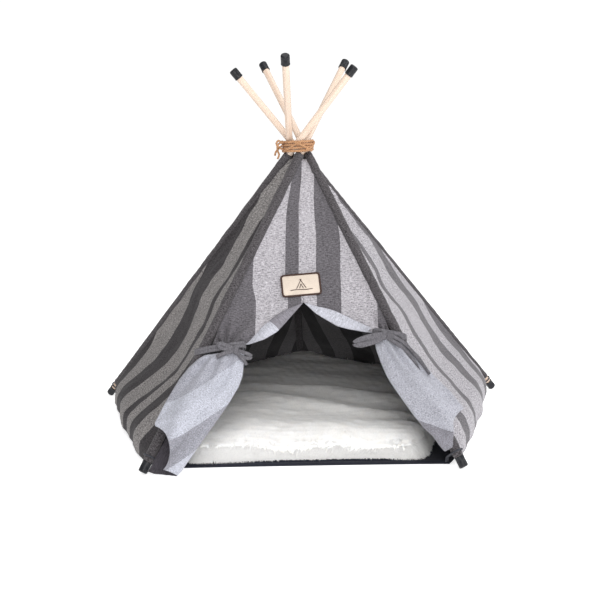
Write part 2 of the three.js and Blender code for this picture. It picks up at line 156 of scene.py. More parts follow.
def make_mesh(name, verts, faces, mats, cloth=None, slots=None, smooth=True):
    """Mesh object; cloth holds each point's place on the flat cloth, for the weave."""
    mesh = bpy.data.meshes.new(name)
    mesh.from_pydata(np.asarray(verts, float).tolist(), [], faces)
    mesh.validate(clean_customdata=False)
    for mat in mats:
        mesh.materials.append(mat)
    if slots is not None:
        mesh.polygons.foreach_set("material_index", np.asarray(slots, np.int32))
    if cloth is not None:
        attribute = mesh.attributes.new("cloth", "FLOAT_VECTOR", "POINT")
        attribute.data.foreach_set("vector", np.asarray(cloth, np.float32).ravel())
    mesh.polygons.foreach_set("use_smooth", np.full(len(mesh.polygons), smooth))
    mesh.update()
    obj = bpy.data.objects.new(name, mesh)
    bpy.context.scene.collection.objects.link(obj)
    return obj


def make_solid(name, verts, faces, mat, cloth=None):
    """Closed mesh with its normals turned outwards."""
    obj = make_mesh(name, verts, faces, (mat,), cloth)
    bm = bmesh.new()
    bm.from_mesh(obj.data)
    bmesh.ops.recalc_face_normals(bm, faces=bm.faces)
    bm.to_mesh(obj.data)
    bm.free()
    obj.data.update()
    return obj


CLOTH_T = 0.0011


def sheet(name, grid, cloth, mat_out, mat_in, outer_dir):
    """Closed sheet of cloth around a grid of middle points; outer_dir points to its outer side."""
    rows, cols = grid.shape[:2]
    normal = unit_rows(np.cross(np.gradient(grid, axis=0), np.gradient(grid, axis=1)))
    flip = (normal.reshape(-1, 3) @ outer_dir).mean() < 0
    if flip:
        normal = -normal
    half = normal * CLOTH_T / 2
    verts = np.concatenate([(grid + half).reshape(-1, 3), (grid - half).reshape(-1, 3)])
    cloth = np.concatenate([cloth, np.zeros((rows, cols, 1))], -1).reshape(-1, 3)
    faces, slots = [], []
    inner = rows * cols     # index of the first vertex on the inner side
    for i in range(rows - 1):
        for j in range(cols - 1):
            a, b = i * cols + j, (i + 1) * cols + j
            quad = (a, b, b + 1, a + 1)
            if flip:
                quad = quad[::-1]
            faces += [quad, tuple(v + inner for v in quad[::-1])]
            slots += [0, 1]
    ids = np.arange(inner).reshape(rows, cols)
    rim = np.concatenate([ids[0, :-1], ids[:-1, -1], ids[-1, :0:-1], ids[:0:-1, 0]]).tolist()
    for a, b in zip(rim, rim[1:] + rim[:1]):
        quad = (a, b, b + inner, a + inner)
        faces.append(quad[::-1] if flip else quad)
        slots.append(1)
    return make_mesh(name, verts, faces, (mat_out, mat_in), np.concatenate([cloth, cloth]), slots)


def sweep(points, rx, ry, up, mat, seg=12, closed=False):
    """Elliptical tube along the points, rx along up and ry across; a part for join()."""
    points = np.asarray(points, float)
    count = len(points)
    rx = np.broadcast_to(rx, count)
    ry = np.broadcast_to(ry, count)
    first, second = path_axes(points, up, closed)
    angle = ring_angles(seg)
    verts = (points[:, None] + first[:, None] * (rx[:, None] * np.cos(angle))[..., None]
             + second[:, None] * (ry[:, None] * np.sin(angle))[..., None]).reshape(-1, 3)
    cloth = np.zeros((count, seg, 3))
    cloth[..., 0] = angle * np.mean(rx + ry) / 2
    cloth[..., 1] = arc_length(points)[:, None]
    cloth = cloth.reshape(-1, 3)
    rows = ring_rows(count, seg)
    if closed:
        faces = bridge(*rows, rows[0])
    else:
        faces = bridge(*rows) + fan(len(verts), rows[0]) + fan(len(verts) + 1, rows[-1])
        verts = np.concatenate([verts, points[[0, -1]]])
        cloth = np.concatenate([cloth, cloth[[0, -seg]]])
    return make_solid("part", verts, faces, mat, cloth)


def join(parts, name):
    """Replace swept parts of one material by a single object."""
    mat = parts[0].data.materials[0]
    verts, faces, cloth, offset = [], [], [], 0
    for part in parts:
        mesh = part.data
        verts.append(read_vectors(mesh.vertices))
        cloth.append(read_vectors(mesh.attributes["cloth"].data, "vector"))
        faces += [tuple(i + offset for i in p.vertices) for p in mesh.polygons]
        offset += len(mesh.vertices)
        bpy.data.objects.remove(part, do_unlink=True)
    return make_mesh(name, np.concatenate(verts), faces, (mat,), np.concatenate(cloth))


def lathe(name, profile, base, axis, mat, seg, bumps=None):
    """Turned solid from (radius, height) pairs that start and end on the axis."""
    axis = unit(axis)
    side = unit(np.cross(axis, [0.31, 0.2, 0.9]))
    other = np.cross(axis, side)
    angle = ring_angles(seg)
    spokes = side * np.cos(angle)[:, None] + other * np.sin(angle)[:, None]
    verts, rows = [], []
    for r, h in profile:
        if r < 1e-7:
            ring = [base + axis * h]
        else:
            radii = r + (bumps(angle, h) if bumps else np.zeros(seg))
            ring = base + axis * h + spokes * radii[:, None]
        rows.append(list(range(len(verts), len(verts) + len(ring))))
        verts.extend(ring)
    faces = fan(0, rows[1]) + bridge(*rows[1:-1]) + fan(rows[-1][0], rows[-2])
    return make_solid(name, np.array(verts), faces, mat)


def place(obj, body, replaces=None):
    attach(obj, body)
    if replaces:
        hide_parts(replaces)


# ------------------------------------------------------------------ material helpers
class Material:
    """Node material around one Principled shader."""

    def __init__(self, name):
        self.material = bpy.data.materials.new(name)
        self.material.use_nodes = True
        self.tree = self.material.node_tree
        self.tree.nodes.clear()
        output = self.node("ShaderNodeOutputMaterial")
        self.shader = self.node("ShaderNodeBsdfPrincipled")
        self.feed(output.inputs[0], self.shader.outputs[0])

    def feed(self, socket, value):
        if isinstance(value, bpy.types.NodeSocket):
            self.tree.links.new(value, socket)
        else:
            socket.default_value = value

    def node(self, kind, inputs=None, **settings):
        node = self.tree.nodes.new(kind)
        for key, value in settings.items():
            setattr(node, key, value)
        for key, value in (inputs or {}).items():
            self.feed(node.inputs[key], value)
        return node

    def calc(self, operation, a, b=0.0, clamp=False):
        return self.node("ShaderNodeMath", {0: a, 1: b, 2: 0.0},
                         operation=operation, use_clamp=clamp).outputs[0]

    def add(self, a, b):
        return self.calc("ADD", a, b)

    def mul(self, a, b):
        return self.calc("MULTIPLY", a, b)

    def centred(self, value):
        return self.calc("SUBTRACT", value, 0.5)

    def mix(self, factor, a, b, blend="MIX"):
        return self.node("ShaderNodeMix", {0: factor, 6: a, 7: b},
                         data_type="RGBA", blend_type=blend).outputs[2]

    def shade(self, colour, brightness):
        grey = self.node("ShaderNodeCombineColor", {i: brightness for i in range(3)}).outputs[0]
        return self.mix(1.0, colour, grey, "MULTIPLY")

    def cloth_coords(self):
        return self.node("ShaderNodeAttribute", attribute_name="cloth").outputs["Vector"]

    def object_coords(self):
        return self.node("ShaderNodeTexCoord").outputs["Object"]

    def noise(self, vector, scale, detail=2.0, rough=0.5, distortion=0.0):
        """Noise; a tuple for scale stretches each axis by its own amount."""
        if isinstance(scale, tuple):
            vector = self.node("ShaderNodeVectorMath", {0: vector, 1: scale},
                               operation="MULTIPLY").outputs[0]
            scale = 1.0
        return self.node("ShaderNodeTexNoise",
                         {"Vector": vector, "Scale": scale, "Detail": detail,
                          "Roughness": rough, "Distortion": distortion}).outputs[0]

    def ramp(self, factor, stops, interpolation="LINEAR"):
        node = self.node("ShaderNodeValToRGB", {0: factor})
        node.color_ramp.interpolation = interpolation
        elements = node.color_ramp.elements
        while len(elements) < len(stops):
            elements.new(1.0)
        for element, (position, colour) in zip(elements, stops):
            element.position = position
            element.color = (*colour, 1)
        return node.outputs[0]

    def set(self, **inputs):
        for key, value in inputs.items():
            self.feed(self.shader.inputs[key.replace("_", " ")], value)

    def bump(self, height, strength, distance):
        bump = self.node("ShaderNodeBump",
                         {"Height": height, "Strength": strength, "Distance": distance})
        self.feed(self.shader.inputs["Normal"], bump.outputs[0])


STRIPE_SPAN = 0.6       # width of cloth covered by the stripe ramp
WEAVE_PITCH = 0.0016


def striped_cloth(name, stripes, light, dark, flecks, sheen=0.12, even=False):
    """Heathered weave; stripes are (start along cloth x, tone from dark 0 to light 1).

    even makes the flecks one size in every direction, for gathered cloth."""
    m = Material(name)
    cloth = m.cloth_coords()
    axes = m.node("ShaderNodeSeparateXYZ", {0: cloth}).outputs
    # stripe edges that wander slowly and fray a little
    drift = m.mul(m.centred(m.noise(cloth, 9.0, detail=1.0)), 0.006)
    fuzz = m.mul(m.centred(m.noise(cloth, (60, 900, 1), detail=1.0)), 0.0016)
    across = m.add(m.add(axes[0], drift), fuzz)
    position = m.calc("ADD", m.calc("DIVIDE", across, STRIPE_SPAN), 0.5, clamp=True)
    stops = [((start + STRIPE_SPAN / 2) / STRIPE_SPAN, (tone,) * 3) for start, tone in stripes]
    tone = m.ramp(position, stops, "CONSTANT")
    # slubs in two directions and grain between them
    if even:
        coords = m.object_coords()
        slub_a = m.noise(coords, 640.0, detail=1.0, rough=0.6)
        slub_b = m.noise(coords, (800, 800, 480), detail=1.0, rough=0.6)
        grain = m.noise(coords, 1050.0, detail=1.5, rough=0.7)
    else:
        slub_a = m.noise(cloth, (190, 640, 1), detail=1.0, rough=0.6)
        slub_b = m.noise(cloth, (620, 240, 1), detail=1.0, rough=0.6)
        grain = m.noise(cloth, (820, 820, 1), detail=1.5, rough=0.7)
    threads = m.add(m.add(m.mul(slub_a, 0.42), m.mul(slub_b, 0.22)), m.mul(grain, 0.36))
    threads = m.mul(m.centred(threads), 6.5)
    patches = m.mul(m.centred(m.noise(cloth, 35.0, detail=3.0)), 0.35)
    variation = m.add(m.mul(threads, flecks), patches)
    colour = m.shade(m.mix(tone, (*dark, 1), (*light, 1)), m.add(variation, 1.0))
    wave_x, wave_y = (m.calc("SINE", m.mul(axes[i], 2 * math.pi / WEAVE_PITCH)) for i in (0, 1))
    weave = m.mul(m.mul(wave_x, wave_y), 0.0 if even else 0.08)
    m.bump(m.add(weave, m.mul(threads, 0.4)), strength=0.55, distance=0.0005)
    m.set(Base_Color=colour, Roughness=m.add(m.mul(grain, 0.2), 0.75), Sheen_Weight=sheen,
          Sheen_Roughness=0.6, Specular_IOR_Level=0.25)
    return m.material


def plain_cloth(name, colour, flecks, scale=1.0, rough=0.85, sheen=0.12, on_object=False):
    """Flecked cloth of one colour; scale multiplies the thread frequency."""
    m = Material(name)
    coords = m.object_coords() if on_object else m.cloth_coords()
    slub = m.noise(coords, (240 * scale, 760 * scale, 300 * scale), detail=1.5, rough=0.6)
    grain = m.noise(coords, (760 * scale, 620 * scale, 700 * scale), detail=1.5, rough=0.7)
    patches = m.mul(m.centred(m.noise(coords, 40.0)), 0.4)
    threads = m.mul(m.centred(m.mul(m.add(slub, grain), 0.5)), 5.0)
    brightness = m.add(m.add(m.mul(threads, flecks), 1.0), patches)
    m.set(Base_Color=m.shade((*colour, 1), brightness),
          Roughness=m.add(m.mul(slub, 0.15), rough - 0.08),
          Sheen_Weight=sheen, Specular_IOR_Level=0.25)
    m.bump(threads, strength=0.5, distance=0.0005)
    return m.material


def wood(name, pole, number):
    """Pale wood with its grain along the pole; number shifts the grain from pole to pole."""
    m = Material(name)
    coords = m.object_coords()

    def along(axis):
        return m.node("ShaderNodeVectorMath", {0: coords, 1: tuple(map(float, axis))},
                      operation="DOT_PRODUCT").outputs["Value"]

    shifted = m.add(along(pole.dir), number * 3.7)
    vector = m.node("ShaderNodeCombineXYZ",
                    {0: along(pole.side), 1: along(pole.face), 2: shifted}).outputs[0]
    streaks = m.noise(vector, (260, 260, 7), detail=4.0, rough=0.6, distortion=0.6)
    fibres = m.noise(vector, (1600, 1600, 30), detail=3.0, rough=0.65)
    broad = m.noise(vector, (20, 20, 5))
    grain = m.add(m.mul(streaks, 0.65), m.mul(fibres, 0.35))
    colour = m.ramp(grain, [(0.30, (0.48, 0.33, 0.235)), (0.45, (0.68, 0.53, 0.43)),
                            (0.6, (0.76, 0.63, 0.53)), (0.75, (0.80, 0.69, 0.59))])
    colour = m.mix(m.mul(broad, 0.30), colour, (0.80, 0.64, 0.51, 1))
    m.set(Base_Color=colour, Roughness=m.add(m.mul(fibres, 0.25), 0.42), Specular_IOR_Level=0.35)
    m.bump(m.add(grain, m.mul(fibres, 0.5)), strength=0.25, distance=0.0004)
    return m.material


def rubber():
    m = Material("end_cap_rubber")
    coords = m.object_coords()
    grain = m.noise(coords, 900.0, detail=3.0, rough=0.6)
    patches = m.noise(coords, 60.0, detail=3.0)
    m.set(Base_Color=m.ramp(patches, [(0.3, (0.006, 0.007, 0.010)), (0.7, (0.016, 0.017, 0.021))]),
          Roughness=m.add(m.mul(patches, 0.22), 0.24), Specular_IOR_Level=0.30)
    m.bump(grain, strength=0.12, distance=0.0003)
    return m.material


def jute():
    m = Material("jute_rope")
    cloth = m.cloth_coords()
    fibres = m.noise(cloth, (2600, 260, 1), detail=3.0, rough=0.7)
    patches = m.noise(cloth, (100, 60, 1))
    tone = m.add(m.mul(fibres, 0.75), m.mul(patches, 0.25))
    m.set(Base_Color=m.ramp(tone, [(0.25, (0.16, 0.070, 0.030)), (0.45, (0.42, 0.215, 0.105)),
                                   (0.65, (0.62, 0.375, 0.21)), (0.8, (0.74, 0.52, 0.34))]),
          Roughness=0.85, Sheen_Weight=0.15, Specular_IOR_Level=0.2)
    m.bump(fibres, strength=0.8, distance=0.0006)
    return m.material


def plush(name, level=1.0):
    """White pile; level scales its two darker colours."""
    m = Material(name)
    coords = m.object_coords()
    fibres = m.noise(coords, (520, 190, 520), detail=3.0, rough=0.7, distortion=0.8)
    clumps = m.noise(coords, (14, 80, 50), detail=4.0, rough=0.6, distortion=0.7)
    broad = m.noise(coords, 9.0)
    tone = m.add(m.mul(fibres, 0.5), m.mul(clumps, 0.5))
    colour = m.ramp(tone, [(0.30, (0.76 * level, 0.755 * level, 0.76 * level)),
                           (0.5, (0.92 * level, 0.91 * level, 0.90 * level)),
                           (0.70, (0.97, 0.96, 0.945))])
    colour = m.mix(m.mul(broad, 0.22), colour, (0.95, 0.92, 0.86, 1))
    m.set(Base_Color=colour, Roughness=m.add(m.mul(fibres, 0.15), 0.82),
          Sheen_Weight=0.30, Sheen_Roughness=0.5, Specular_IOR_Level=0.12,
          Subsurface_Weight=0.6, Subsurface_Radius=(1.0, 0.95, 0.88), Subsurface_Scale=0.008)
    m.bump(tone, strength=0.45, distance=0.002)
    return m.material


# ------------------------------------------------------------------ materials
# (start measured from the middle of each piece, tone)
FRONT_STRIPES = [(-0.30, 0), (-0.215, 1), (-0.175, 0), (-0.072, 1), (-0.022, 0), (0.0, 1),
                 (0.027, 0), (0.064, 1), (0.120, 0), (0.165, 1), (0.205, 0)]
LEFT_STRIPES = [(-0.30, 0), (-0.205, 1), (-0.175, 0), (-0.145, 1), (-0.085, 0), (-0.030, 1),
                (0.030, 0), (0.048, 1), (0.078, 0), (0.112, 1), (0.150, 0), (0.180, 1)]
RIGHT_STRIPES = [(-0.30, 0), (-0.195, 1), (-0.160, 0), (-0.118, 1), (-0.075, 0), (-0.033, 1),
                 (0.033, 0), (0.056, 1), (0.105, 0), (0.135, 1), (0.170, 0)]
BACK_STRIPES = [(-0.30, 0), (-0.185, 1), (-0.150, 0), (-0.120, 1), (-0.075, 0), (-0.030, 1),
                (0.025, 0), (0.060, 1), (0.100, 0), (0.140, 1), (0.175, 0)]
# (light stripe, dark stripe) colours
OUTER = (0.355, 0.340, 0.366), (0.104, 0.097, 0.108)
# OUTER_LEFT_PAINTED_SHADE is the same striped cloth as OUTER painted darker and browner: painted
# shade on the left wall, which faces away from the key light
OUTER_LEFT_PAINTED_SHADE = (0.205, 0.193, 0.191), (0.036, 0.032, 0.035)
REVERSE_FRONT = (0.45, 0.455, 0.51), (0.20, 0.19, 0.215)
# REVERSE is the cloth's striped reverse side painted far darker than REVERSE_FRONT: the stripes
# are the cloth's own, the darkness is painted shade for the inside of the tent
REVERSE = (0.14, 0.133, 0.14), (0.037, 0.035, 0.038)
CURTAIN_DARK = (0.155, 0.148, 0.170)

FRONT_CLOTH = striped_cloth("cloth_front", FRONT_STRIPES, *OUTER, flecks=0.72)
# the left wall's cloth carries that painted shade in its light and dark stripe colours
LEFT_CLOTH_PAINTED_SHADE = striped_cloth("cloth_side_left_painted_shade", LEFT_STRIPES, *OUTER_LEFT_PAINTED_SHADE, flecks=1.0, sheen=0.04)
RIGHT_CLOTH = striped_cloth("cloth_side_right", RIGHT_STRIPES, *OUTER, flecks=0.95)
BACK_CLOTH = striped_cloth("cloth_back", BACK_STRIPES, *OUTER, flecks=0.85)
FRONT_REVERSE = striped_cloth("cloth_front_reverse", FRONT_STRIPES, *REVERSE_FRONT, flecks=0.4)
# the side and back walls' inner faces and cut edges carry that painted shade
SIDE_REVERSE_PAINTED_SHADE = striped_cloth("cloth_side_reverse_painted_shade", LEFT_STRIPES, *REVERSE, flecks=0.5)
BACK_REVERSE_PAINTED_SHADE = striped_cloth("cloth_back_reverse_painted_shade", BACK_STRIPES, *REVERSE, flecks=0.5)
CURTAIN_OUT = {
    "left": striped_cloth("cloth_curtain_reverse_left",
                          [(-0.3, 0.62), (0.010, 1), (0.054, 0.42), (0.085, 1)],
                          (0.415, 0.425, 0.485), CURTAIN_DARK, flecks=0.50, even=True),
    "right": striped_cloth("cloth_curtain_reverse_right", [(-0.3, 0.85), (0.086, 0.18)],
                           (0.385, 0.39, 0.44), CURTAIN_DARK, flecks=0.50, even=True)}
# the left curtain's inner face is the cloth's dark tone darkened further: partly the cloth's own
# colour, partly painted shade inside its turned fold
CURTAIN_IN = {"left": plain_cloth("curtain_face_left_painted_shade", (0.050, 0.045, 0.055), flecks=0.7),
              "right": plain_cloth("curtain_face_right", (0.30, 0.29, 0.31), flecks=0.6)}
SLEEVE_CLOTH = plain_cloth("sleeve_cloth", (0.068, 0.062, 0.067), flecks=1.4)
TIE_CLOTH = plain_cloth("tie_cloth", (0.125, 0.12, 0.133), flecks=0.7)
RUBBER = rubber()
JUTE = jute()
FLOOR_CLOTH = plain_cloth("floor_cloth", (0.012, 0.014, 0.024), flecks=0.35, scale=0.8,
                          rough=0.75, sheen=0.05, on_object=True)
LABEL_CLOTH = plain_cloth("label_weave", (0.645, 0.555, 0.475), flecks=0.10, scale=2.2,
                          rough=0.8, sheen=0.05, on_object=True)
BINDING_CLOTH = plain_cloth("label_border", (0.055, 0.030, 0.024), flecks=0.35, scale=2.2,
                            rough=0.75, sheen=0.05, on_object=True)
CORD = plain_cloth("elastic_cord", (0.045, 0.047, 0.058), flecks=0.3, scale=1.6,
                   rough=0.7, sheen=0.05)
THREAD = plain_cloth("seam_thread", (0.55, 0.55, 0.60), flecks=0.3, scale=2.0,
                     rough=0.7, sheen=0.05)
PLUSH = plush("plush_pile")
WADDING = plush("wadding", level=0.95)

# ------------------------------------------------------------------ poles, caps, sleeves
LASH_Z = 0.4574
LASH_OFFSET = 0.0131    # how far from the z axis each pole passes at the lashing
DOWEL_R = 0.0055
SLEEVE_R = 0.0073
SLEEVE_INNER_R = 0.0058
POLE_LEN = 0.752
CAP_R = 0.0069
CAP_LEN = 0.0165
CAP_ROUND = 0.0024
# (x, y) of each pole's foot, in order around the tent
FEET = {"back": (0.0, 0.360), "side_left": (-0.3605, 0.1264), "front_left": (-0.2307, -0.2662),
        "front_right": (0.2307, -0.2662), "side_right": (0.3605, 0.1264)}


def cap_nose(count):
    """(radius, height) points of the cap's rounded end."""
    return [(CAP_R - CAP_ROUND + CAP_ROUND * math.sin(a), CAP_ROUND - CAP_ROUND * math.cos(a))
            for a in np.linspace(0, math.pi / 2, count)]


class Pole:
    """Axis of one pole, from the outer end of its foot cap, with vectors square to it."""

    def __init__(self, key, x, y):
        azimuth = math.atan2(y, x)
        self.key = key
        self.body = key + "_pole"
        waist = np.array([-math.sin(azimuth) * LASH_OFFSET, math.cos(azimuth) * LASH_OFFSET,
                          LASH_Z])
        foot_z = 0.0044
        for _ in range(4):      # settle the leaning cap on the ground
            foot = np.array([x, y, foot_z])
            axis = unit(waist - foot)
            lean = math.sqrt(1 - axis[2] ** 2)
            foot_z = -min(h * axis[2] - r * lean for r, h in [(0, 0)] + cap_nose(6)) + 0.00002
        self.foot = np.array([x, y, foot_z])
        self.dir = unit(waist - self.foot)
        self.to_waist = float(np.linalg.norm(waist - self.foot))
        self.out = np.array([math.cos(azimuth), math.sin(azimuth), 0.0])
        side = np.cross(UP, self.out)
        self.side = unit(side - self.dir * (side @ self.dir))
        self.face = np.cross(self.side, self.dir)
        if self.face @ self.out < 0:
            self.face = -self.face

    def at(self, distance):
        return self.foot + self.dir * distance

    def at_z(self, z):
        return self.foot + self.dir * ((z - self.foot[2]) / self.dir[2])


poles = {key: Pole(key, *xy) for key, xy in FEET.items()}


def build_dowel(pole, index):
    mat = wood(f"dowel_wood_{pole.key}", pole, index + 1)
    length, chamfer = POLE_LEN - 0.005, 0.0006
    heights = np.clip(np.linspace(0, length, 60), chamfer, length - chamfer)
    profile = [(0, 0), (DOWEL_R - chamfer, 0.0), *((DOWEL_R, h) for h in heights),
               (DOWEL_R - chamfer, length), (0, length)]

    def bumps(angle, h):
        return (0.00006 * np.sin(3 * angle + h * 31 + index * 1.7)
                + 0.00005 * np.sin(h * 57 + 2 * angle))

    dowel = lathe(f"dowel_{pole.key}", profile, pole.at(0.0025), pole.dir, mat, 40, bumps)
    place(dowel, pole.body, f"pole_{pole.key}")


def build_caps(pole):
    bore_r, bore_floor = 0.0058, 0.0022
    profile = [(0, 0), *cap_nose(9), (CAP_R, 0.0060), (CAP_R + 0.00012, 0.0066),
               (CAP_R, 0.0072), (CAP_R - 0.00005, 0.0150), (CAP_R + 0.00022, 0.0155),
               (CAP_R + 0.00015, 0.0162), (CAP_R - 0.0004, CAP_LEN),
               (bore_r, CAP_LEN), (bore_r, bore_floor), (0, bore_floor)]
    for end, base, axis in (("foot", pole.foot, pole.dir), ("top", pole.at(POLE_LEN), -pole.dir)):
        cap = lathe(f"end_cap_{end}_{pole.key}", profile, base, axis, RUBBER, 48)
        place(cap, pole.body, f"cap_{end}_{pole.key}")


def build_sleeve(pole, index):
    """Cloth tube with soft rumples and a thicker edge at both ends."""
    bare = 0.011 if pole.key.startswith("side") else 0.0002
    start, stop = CAP_LEN + bare, pole.to_waist - 0.0165
    count, seg = 170, 28
    angle = ring_angles(seg)
    cos, sin = np.cos(angle), np.sin(angle)
    along = np.linspace(start, stop, count)[:, None]
    places = np.stack(np.broadcast_arrays(cos * 0.02, sin * 0.02, along), -1)
    creases = np.sin(along * 420 + 2.4 * np.sin(angle + index))
    radius = (SLEEVE_R + 0.00030 * ripple(places, 11 + index, 34)
              + 0.00022 * creases * (0.5 + 0.5 * np.sin(along * 21 + index)))
    to_end = np.minimum(along - start, stop - along)
    radius = (radius + 0.0004 * np.exp(-((to_end - 0.004) / 0.0025) ** 2)
              - 0.0005 * np.exp(-(to_end / 0.001) ** 2))
    radius = np.maximum(radius, SLEEVE_R - 0.0008)
    spokes = pole.side * cos[:, None] + pole.face * sin[:, None]
    verts = np.concatenate([pole.at(along)[:, None] + spokes * r[..., None]
                            for r in (radius, np.full((count, seg), SLEEVE_INNER_R))])
    cloth = np.zeros((count, seg, 3))
    cloth[..., 0] = angle * SLEEVE_R
    cloth[..., 1] = along
    outer, inner = ring_rows(count, seg), ring_rows(count, seg, count * seg)
    faces = (bridge(*outer) + bridge(*inner[::-1])
             + bridge(outer[0], inner[0]) + bridge(inner[-1], outer[-1]))
    sleeve = make_solid(f"pole_sleeve_{pole.key}", verts.reshape(-1, 3), faces, SLEEVE_CLOTH,
                        np.tile(cloth.reshape(-1, 3), (2, 1)))
    place(sleeve, pole.body, f"sleeve_{pole.key}")


for index, pole in enumerate(poles.values()):
    build_dowel(pole, index)
    build_caps(pole)
    build_sleeve(pole, index)

# ------------------------------------------------------------------ wall panels
CLOTH_TOP_Z = 0.4375
CLOTH_INSET = 0.0046    # from a pole's axis to the edge of the cloth
STITCH_Z = 0.0105
STITCH_PITCH = 0.0052
STITCH_LEN = 0.0032
STITCH_R = 0.00038

# name, its two poles, hinge joint, outer and inner cloth, ripple seed, bulge factor,
# heights in metres, and how far the wall stands out at each height in mm
WALLS = [
    ("back_left", "back", "side_left", "fold_side_left", BACK_CLOTH, BACK_REVERSE_PAINTED_SHADE, 1, 1.0,
     [0, .02, .04, .07, .11, .16, .24, .30, .36, .46], [8, 8, 10, 4, -3, -4, -1, -2, -1, 0]),
    ("side_left", "side_left", "front_left", "fold_front_left", LEFT_CLOTH_PAINTED_SHADE, SIDE_REVERSE_PAINTED_SHADE, 2, 1.28,
     [0, .010, .020, .03, .05, .07, .09, .11, .14, .18, .22, .26, .32, .40, .46],
     [13, 14, 15, 17.5, 11.5, 3.0, -4.5, -10.5, -12.5, -10.0, -2.0, -4.5, -1.5, -.5, 0]),
    ("back_right", "back", "side_right", "fold_side_right", BACK_CLOTH, BACK_REVERSE_PAINTED_SHADE, 3, 1.0,
     [0, .02, .04, .07, .11, .16, .24, .30, .36, .46], [7, 8, 9, 5, -2, -5, -3, 1, 0, 0]),
    ("side_right", "side_right", "front_right", "fold_front_right", RIGHT_CLOTH, SIDE_REVERSE_PAINTED_SHADE,
     4, 1.15,
     [0, .010, .020, .04, .06, .08, .10, .12, .14, .16, .18, .20, .22, .24, .26, .30, .34, .46],
     [11, 11, 12, 14.5, 10.5, 6.5, 1.6, .2, -.8, .4, 3.4, 3.0, .6, -.6, 4.6, 6.0, 0.0, 0]),
]


def wall_grid(pole_a, pole_b, seed, bulge, relief_z, relief_mm):
    """Middle surface of a wall from pole_a to pole_b, its cloth coordinates and its normal."""
    z = np.concatenate([np.linspace(CLOTH_TOP_Z, 0.40, 9)[:-1], np.linspace(0.40, 0.06, 70)[:-1],
                        np.linspace(0.06, 0.0035, 22)])[:, None]
    u = np.linspace(0, 1, 73)[None]
    # below about 0.021 the wall stops leaning, so that the hem hangs straight down
    hung_z = 0.021 + 0.5 * ((z - 0.021) + np.sqrt((z - 0.021) ** 2 + 0.008 ** 2))
    start = pole_a.at_z(hung_z)
    along = pole_b.at_z(hung_z) - start
    width = np.linalg.norm(along, axis=1, keepdims=True)
    across = CLOTH_INSET + (width - 2 * CLOTH_INSET) * u
    grid = start[:, None] + (along / width)[:, None] * across[..., None]
    grid[..., 2] = z
    cloth = np.stack(np.broadcast_arrays(across - width / 2, z * 1.27), -1)
    normal = unit(np.cross(grid[60, 10] - grid[30, 10], grid[60, 60] - grid[60, 10]))
    if normal @ (pole_a.out + pole_b.out) < 0:
        normal = -normal

    edge = np.sin(np.pi * u) ** 0.55
    profile_z = np.linspace(0, 0.46, 231)
    profile = np.interp(profile_z, relief_z, relief_mm)
    for _ in range(10):
        profile[1:-1] = (profile[:-2] + profile[1:-1] * 2 + profile[2:]) / 4
    puff = np.interp(z, profile_z, profile) / 1000
    roll = (0.0006 * np.sin(2 * np.pi * (1.5 * u + 3.1 * z / 0.45 + 0.13 * seed))
            * np.sin(np.pi * u) * smoothstep(0.45, 0.28, z))
    fine = 0.0011 * ripple(grid, 40 + seed, 13.0) + 0.0005 * ripple(grid, 60 + seed, 34.0)
    # pull lines running down from the crossing
    pull = (0.0008 * np.sin(2 * np.pi * (7.0 * u + 0.4 * ripple(grid, 80 + seed, 4.0)))
            * smoothstep(0.10, 0.34, z))
    relief = (puff * edge + roll) * bulge + (fine + pull) * np.minimum(1, edge * 1.4)
    hem_wave = (smoothstep(0.075, 0.012, z) * edge
                * (0.0014 * np.sin(2 * np.pi * (3.3 * u + 0.21 * seed))
                   + 0.0004 * np.sin(2 * np.pi * (7.7 * u + 0.4 * seed))))
    grid = grid + relief[..., None] * normal
    grid = grid + hem_wave[..., None] * unit([normal[0], normal[1], 0])
    # the cloth leaves each sleeve on its outer side
    near_a, near_b = np.exp(-(u * 22) ** 2), np.exp(-((1 - u) * 22) ** 2)
    above_hem = smoothstep(0.02, 0.05, z)
    lift = 0.0030 * (near_a + near_b) * above_hem * smoothstep(0.45, 0.40, z)
    if pole_b.key.startswith("front"):
        # low down, the wall lies flat against the front pole
        flatten = relief * (1 - smoothstep(0.0, 0.13, 1 - u)) * smoothstep(0.105, 0.075, z)
        lift = lift - flatten - 0.0030 * near_b * above_hem * smoothstep(0.11, 0.08, z)
    grid = grid + lift[..., None] * normal
    grid[..., 2] = np.maximum(grid[..., 2], 0.003)
    return grid, cloth, normal


def hem_stitches(name, grid, normal):
    """Row of square-section stitches along the grid row nearest to STITCH_Z."""
    row = int(np.argmin(abs(grid[:, grid.shape[1] // 2, 2] - STITCH_Z)))
    line = grid[row, 2:-2]
    lengths = arc_length(line)
    verts, faces = [], []
    for q in range(int(lengths[-1] / STITCH_PITCH)):
        start = (q + 0.2) * STITCH_PITCH
        points = [np.array([np.interp(s, lengths, line[:, axis]) for axis in range(3)])
                  + normal * 0.0008
                  for s in (start, start + STITCH_LEN / 2, start + STITCH_LEN)]
        side = unit(np.cross(unit(points[2] - points[0]), normal))
        other = np.cross(side, unit(points[2] - points[0]))
        rings = ring_rows(3, 4, len(verts))
        for point, scale in zip(points, (0.5, 1.0, 0.5)):
            for angle in ring_angles(4):
                spoke = side * math.cos(angle) + other * math.sin(angle)
                verts.append(point + spoke * STITCH_R * scale)
        faces += bridge(*rings) + [tuple(rings[0][::-1]), tuple(rings[-1])]
    return make_mesh(name, verts, faces, (THREAD,), np.array(verts))


def set_fan_weights(obj, joint_name):
    """Works out each point's arm about the joint's axis and leaves it unused; no share of the
    hinge angle is set.
    """
    joint = joints[joint_name]
    axis = unit(joint["axis"])
    arms = read_vectors(obj.data.vertices) - np.array(joint["pos_m"], float)
    arms -= np.outer(arms @ axis, axis)


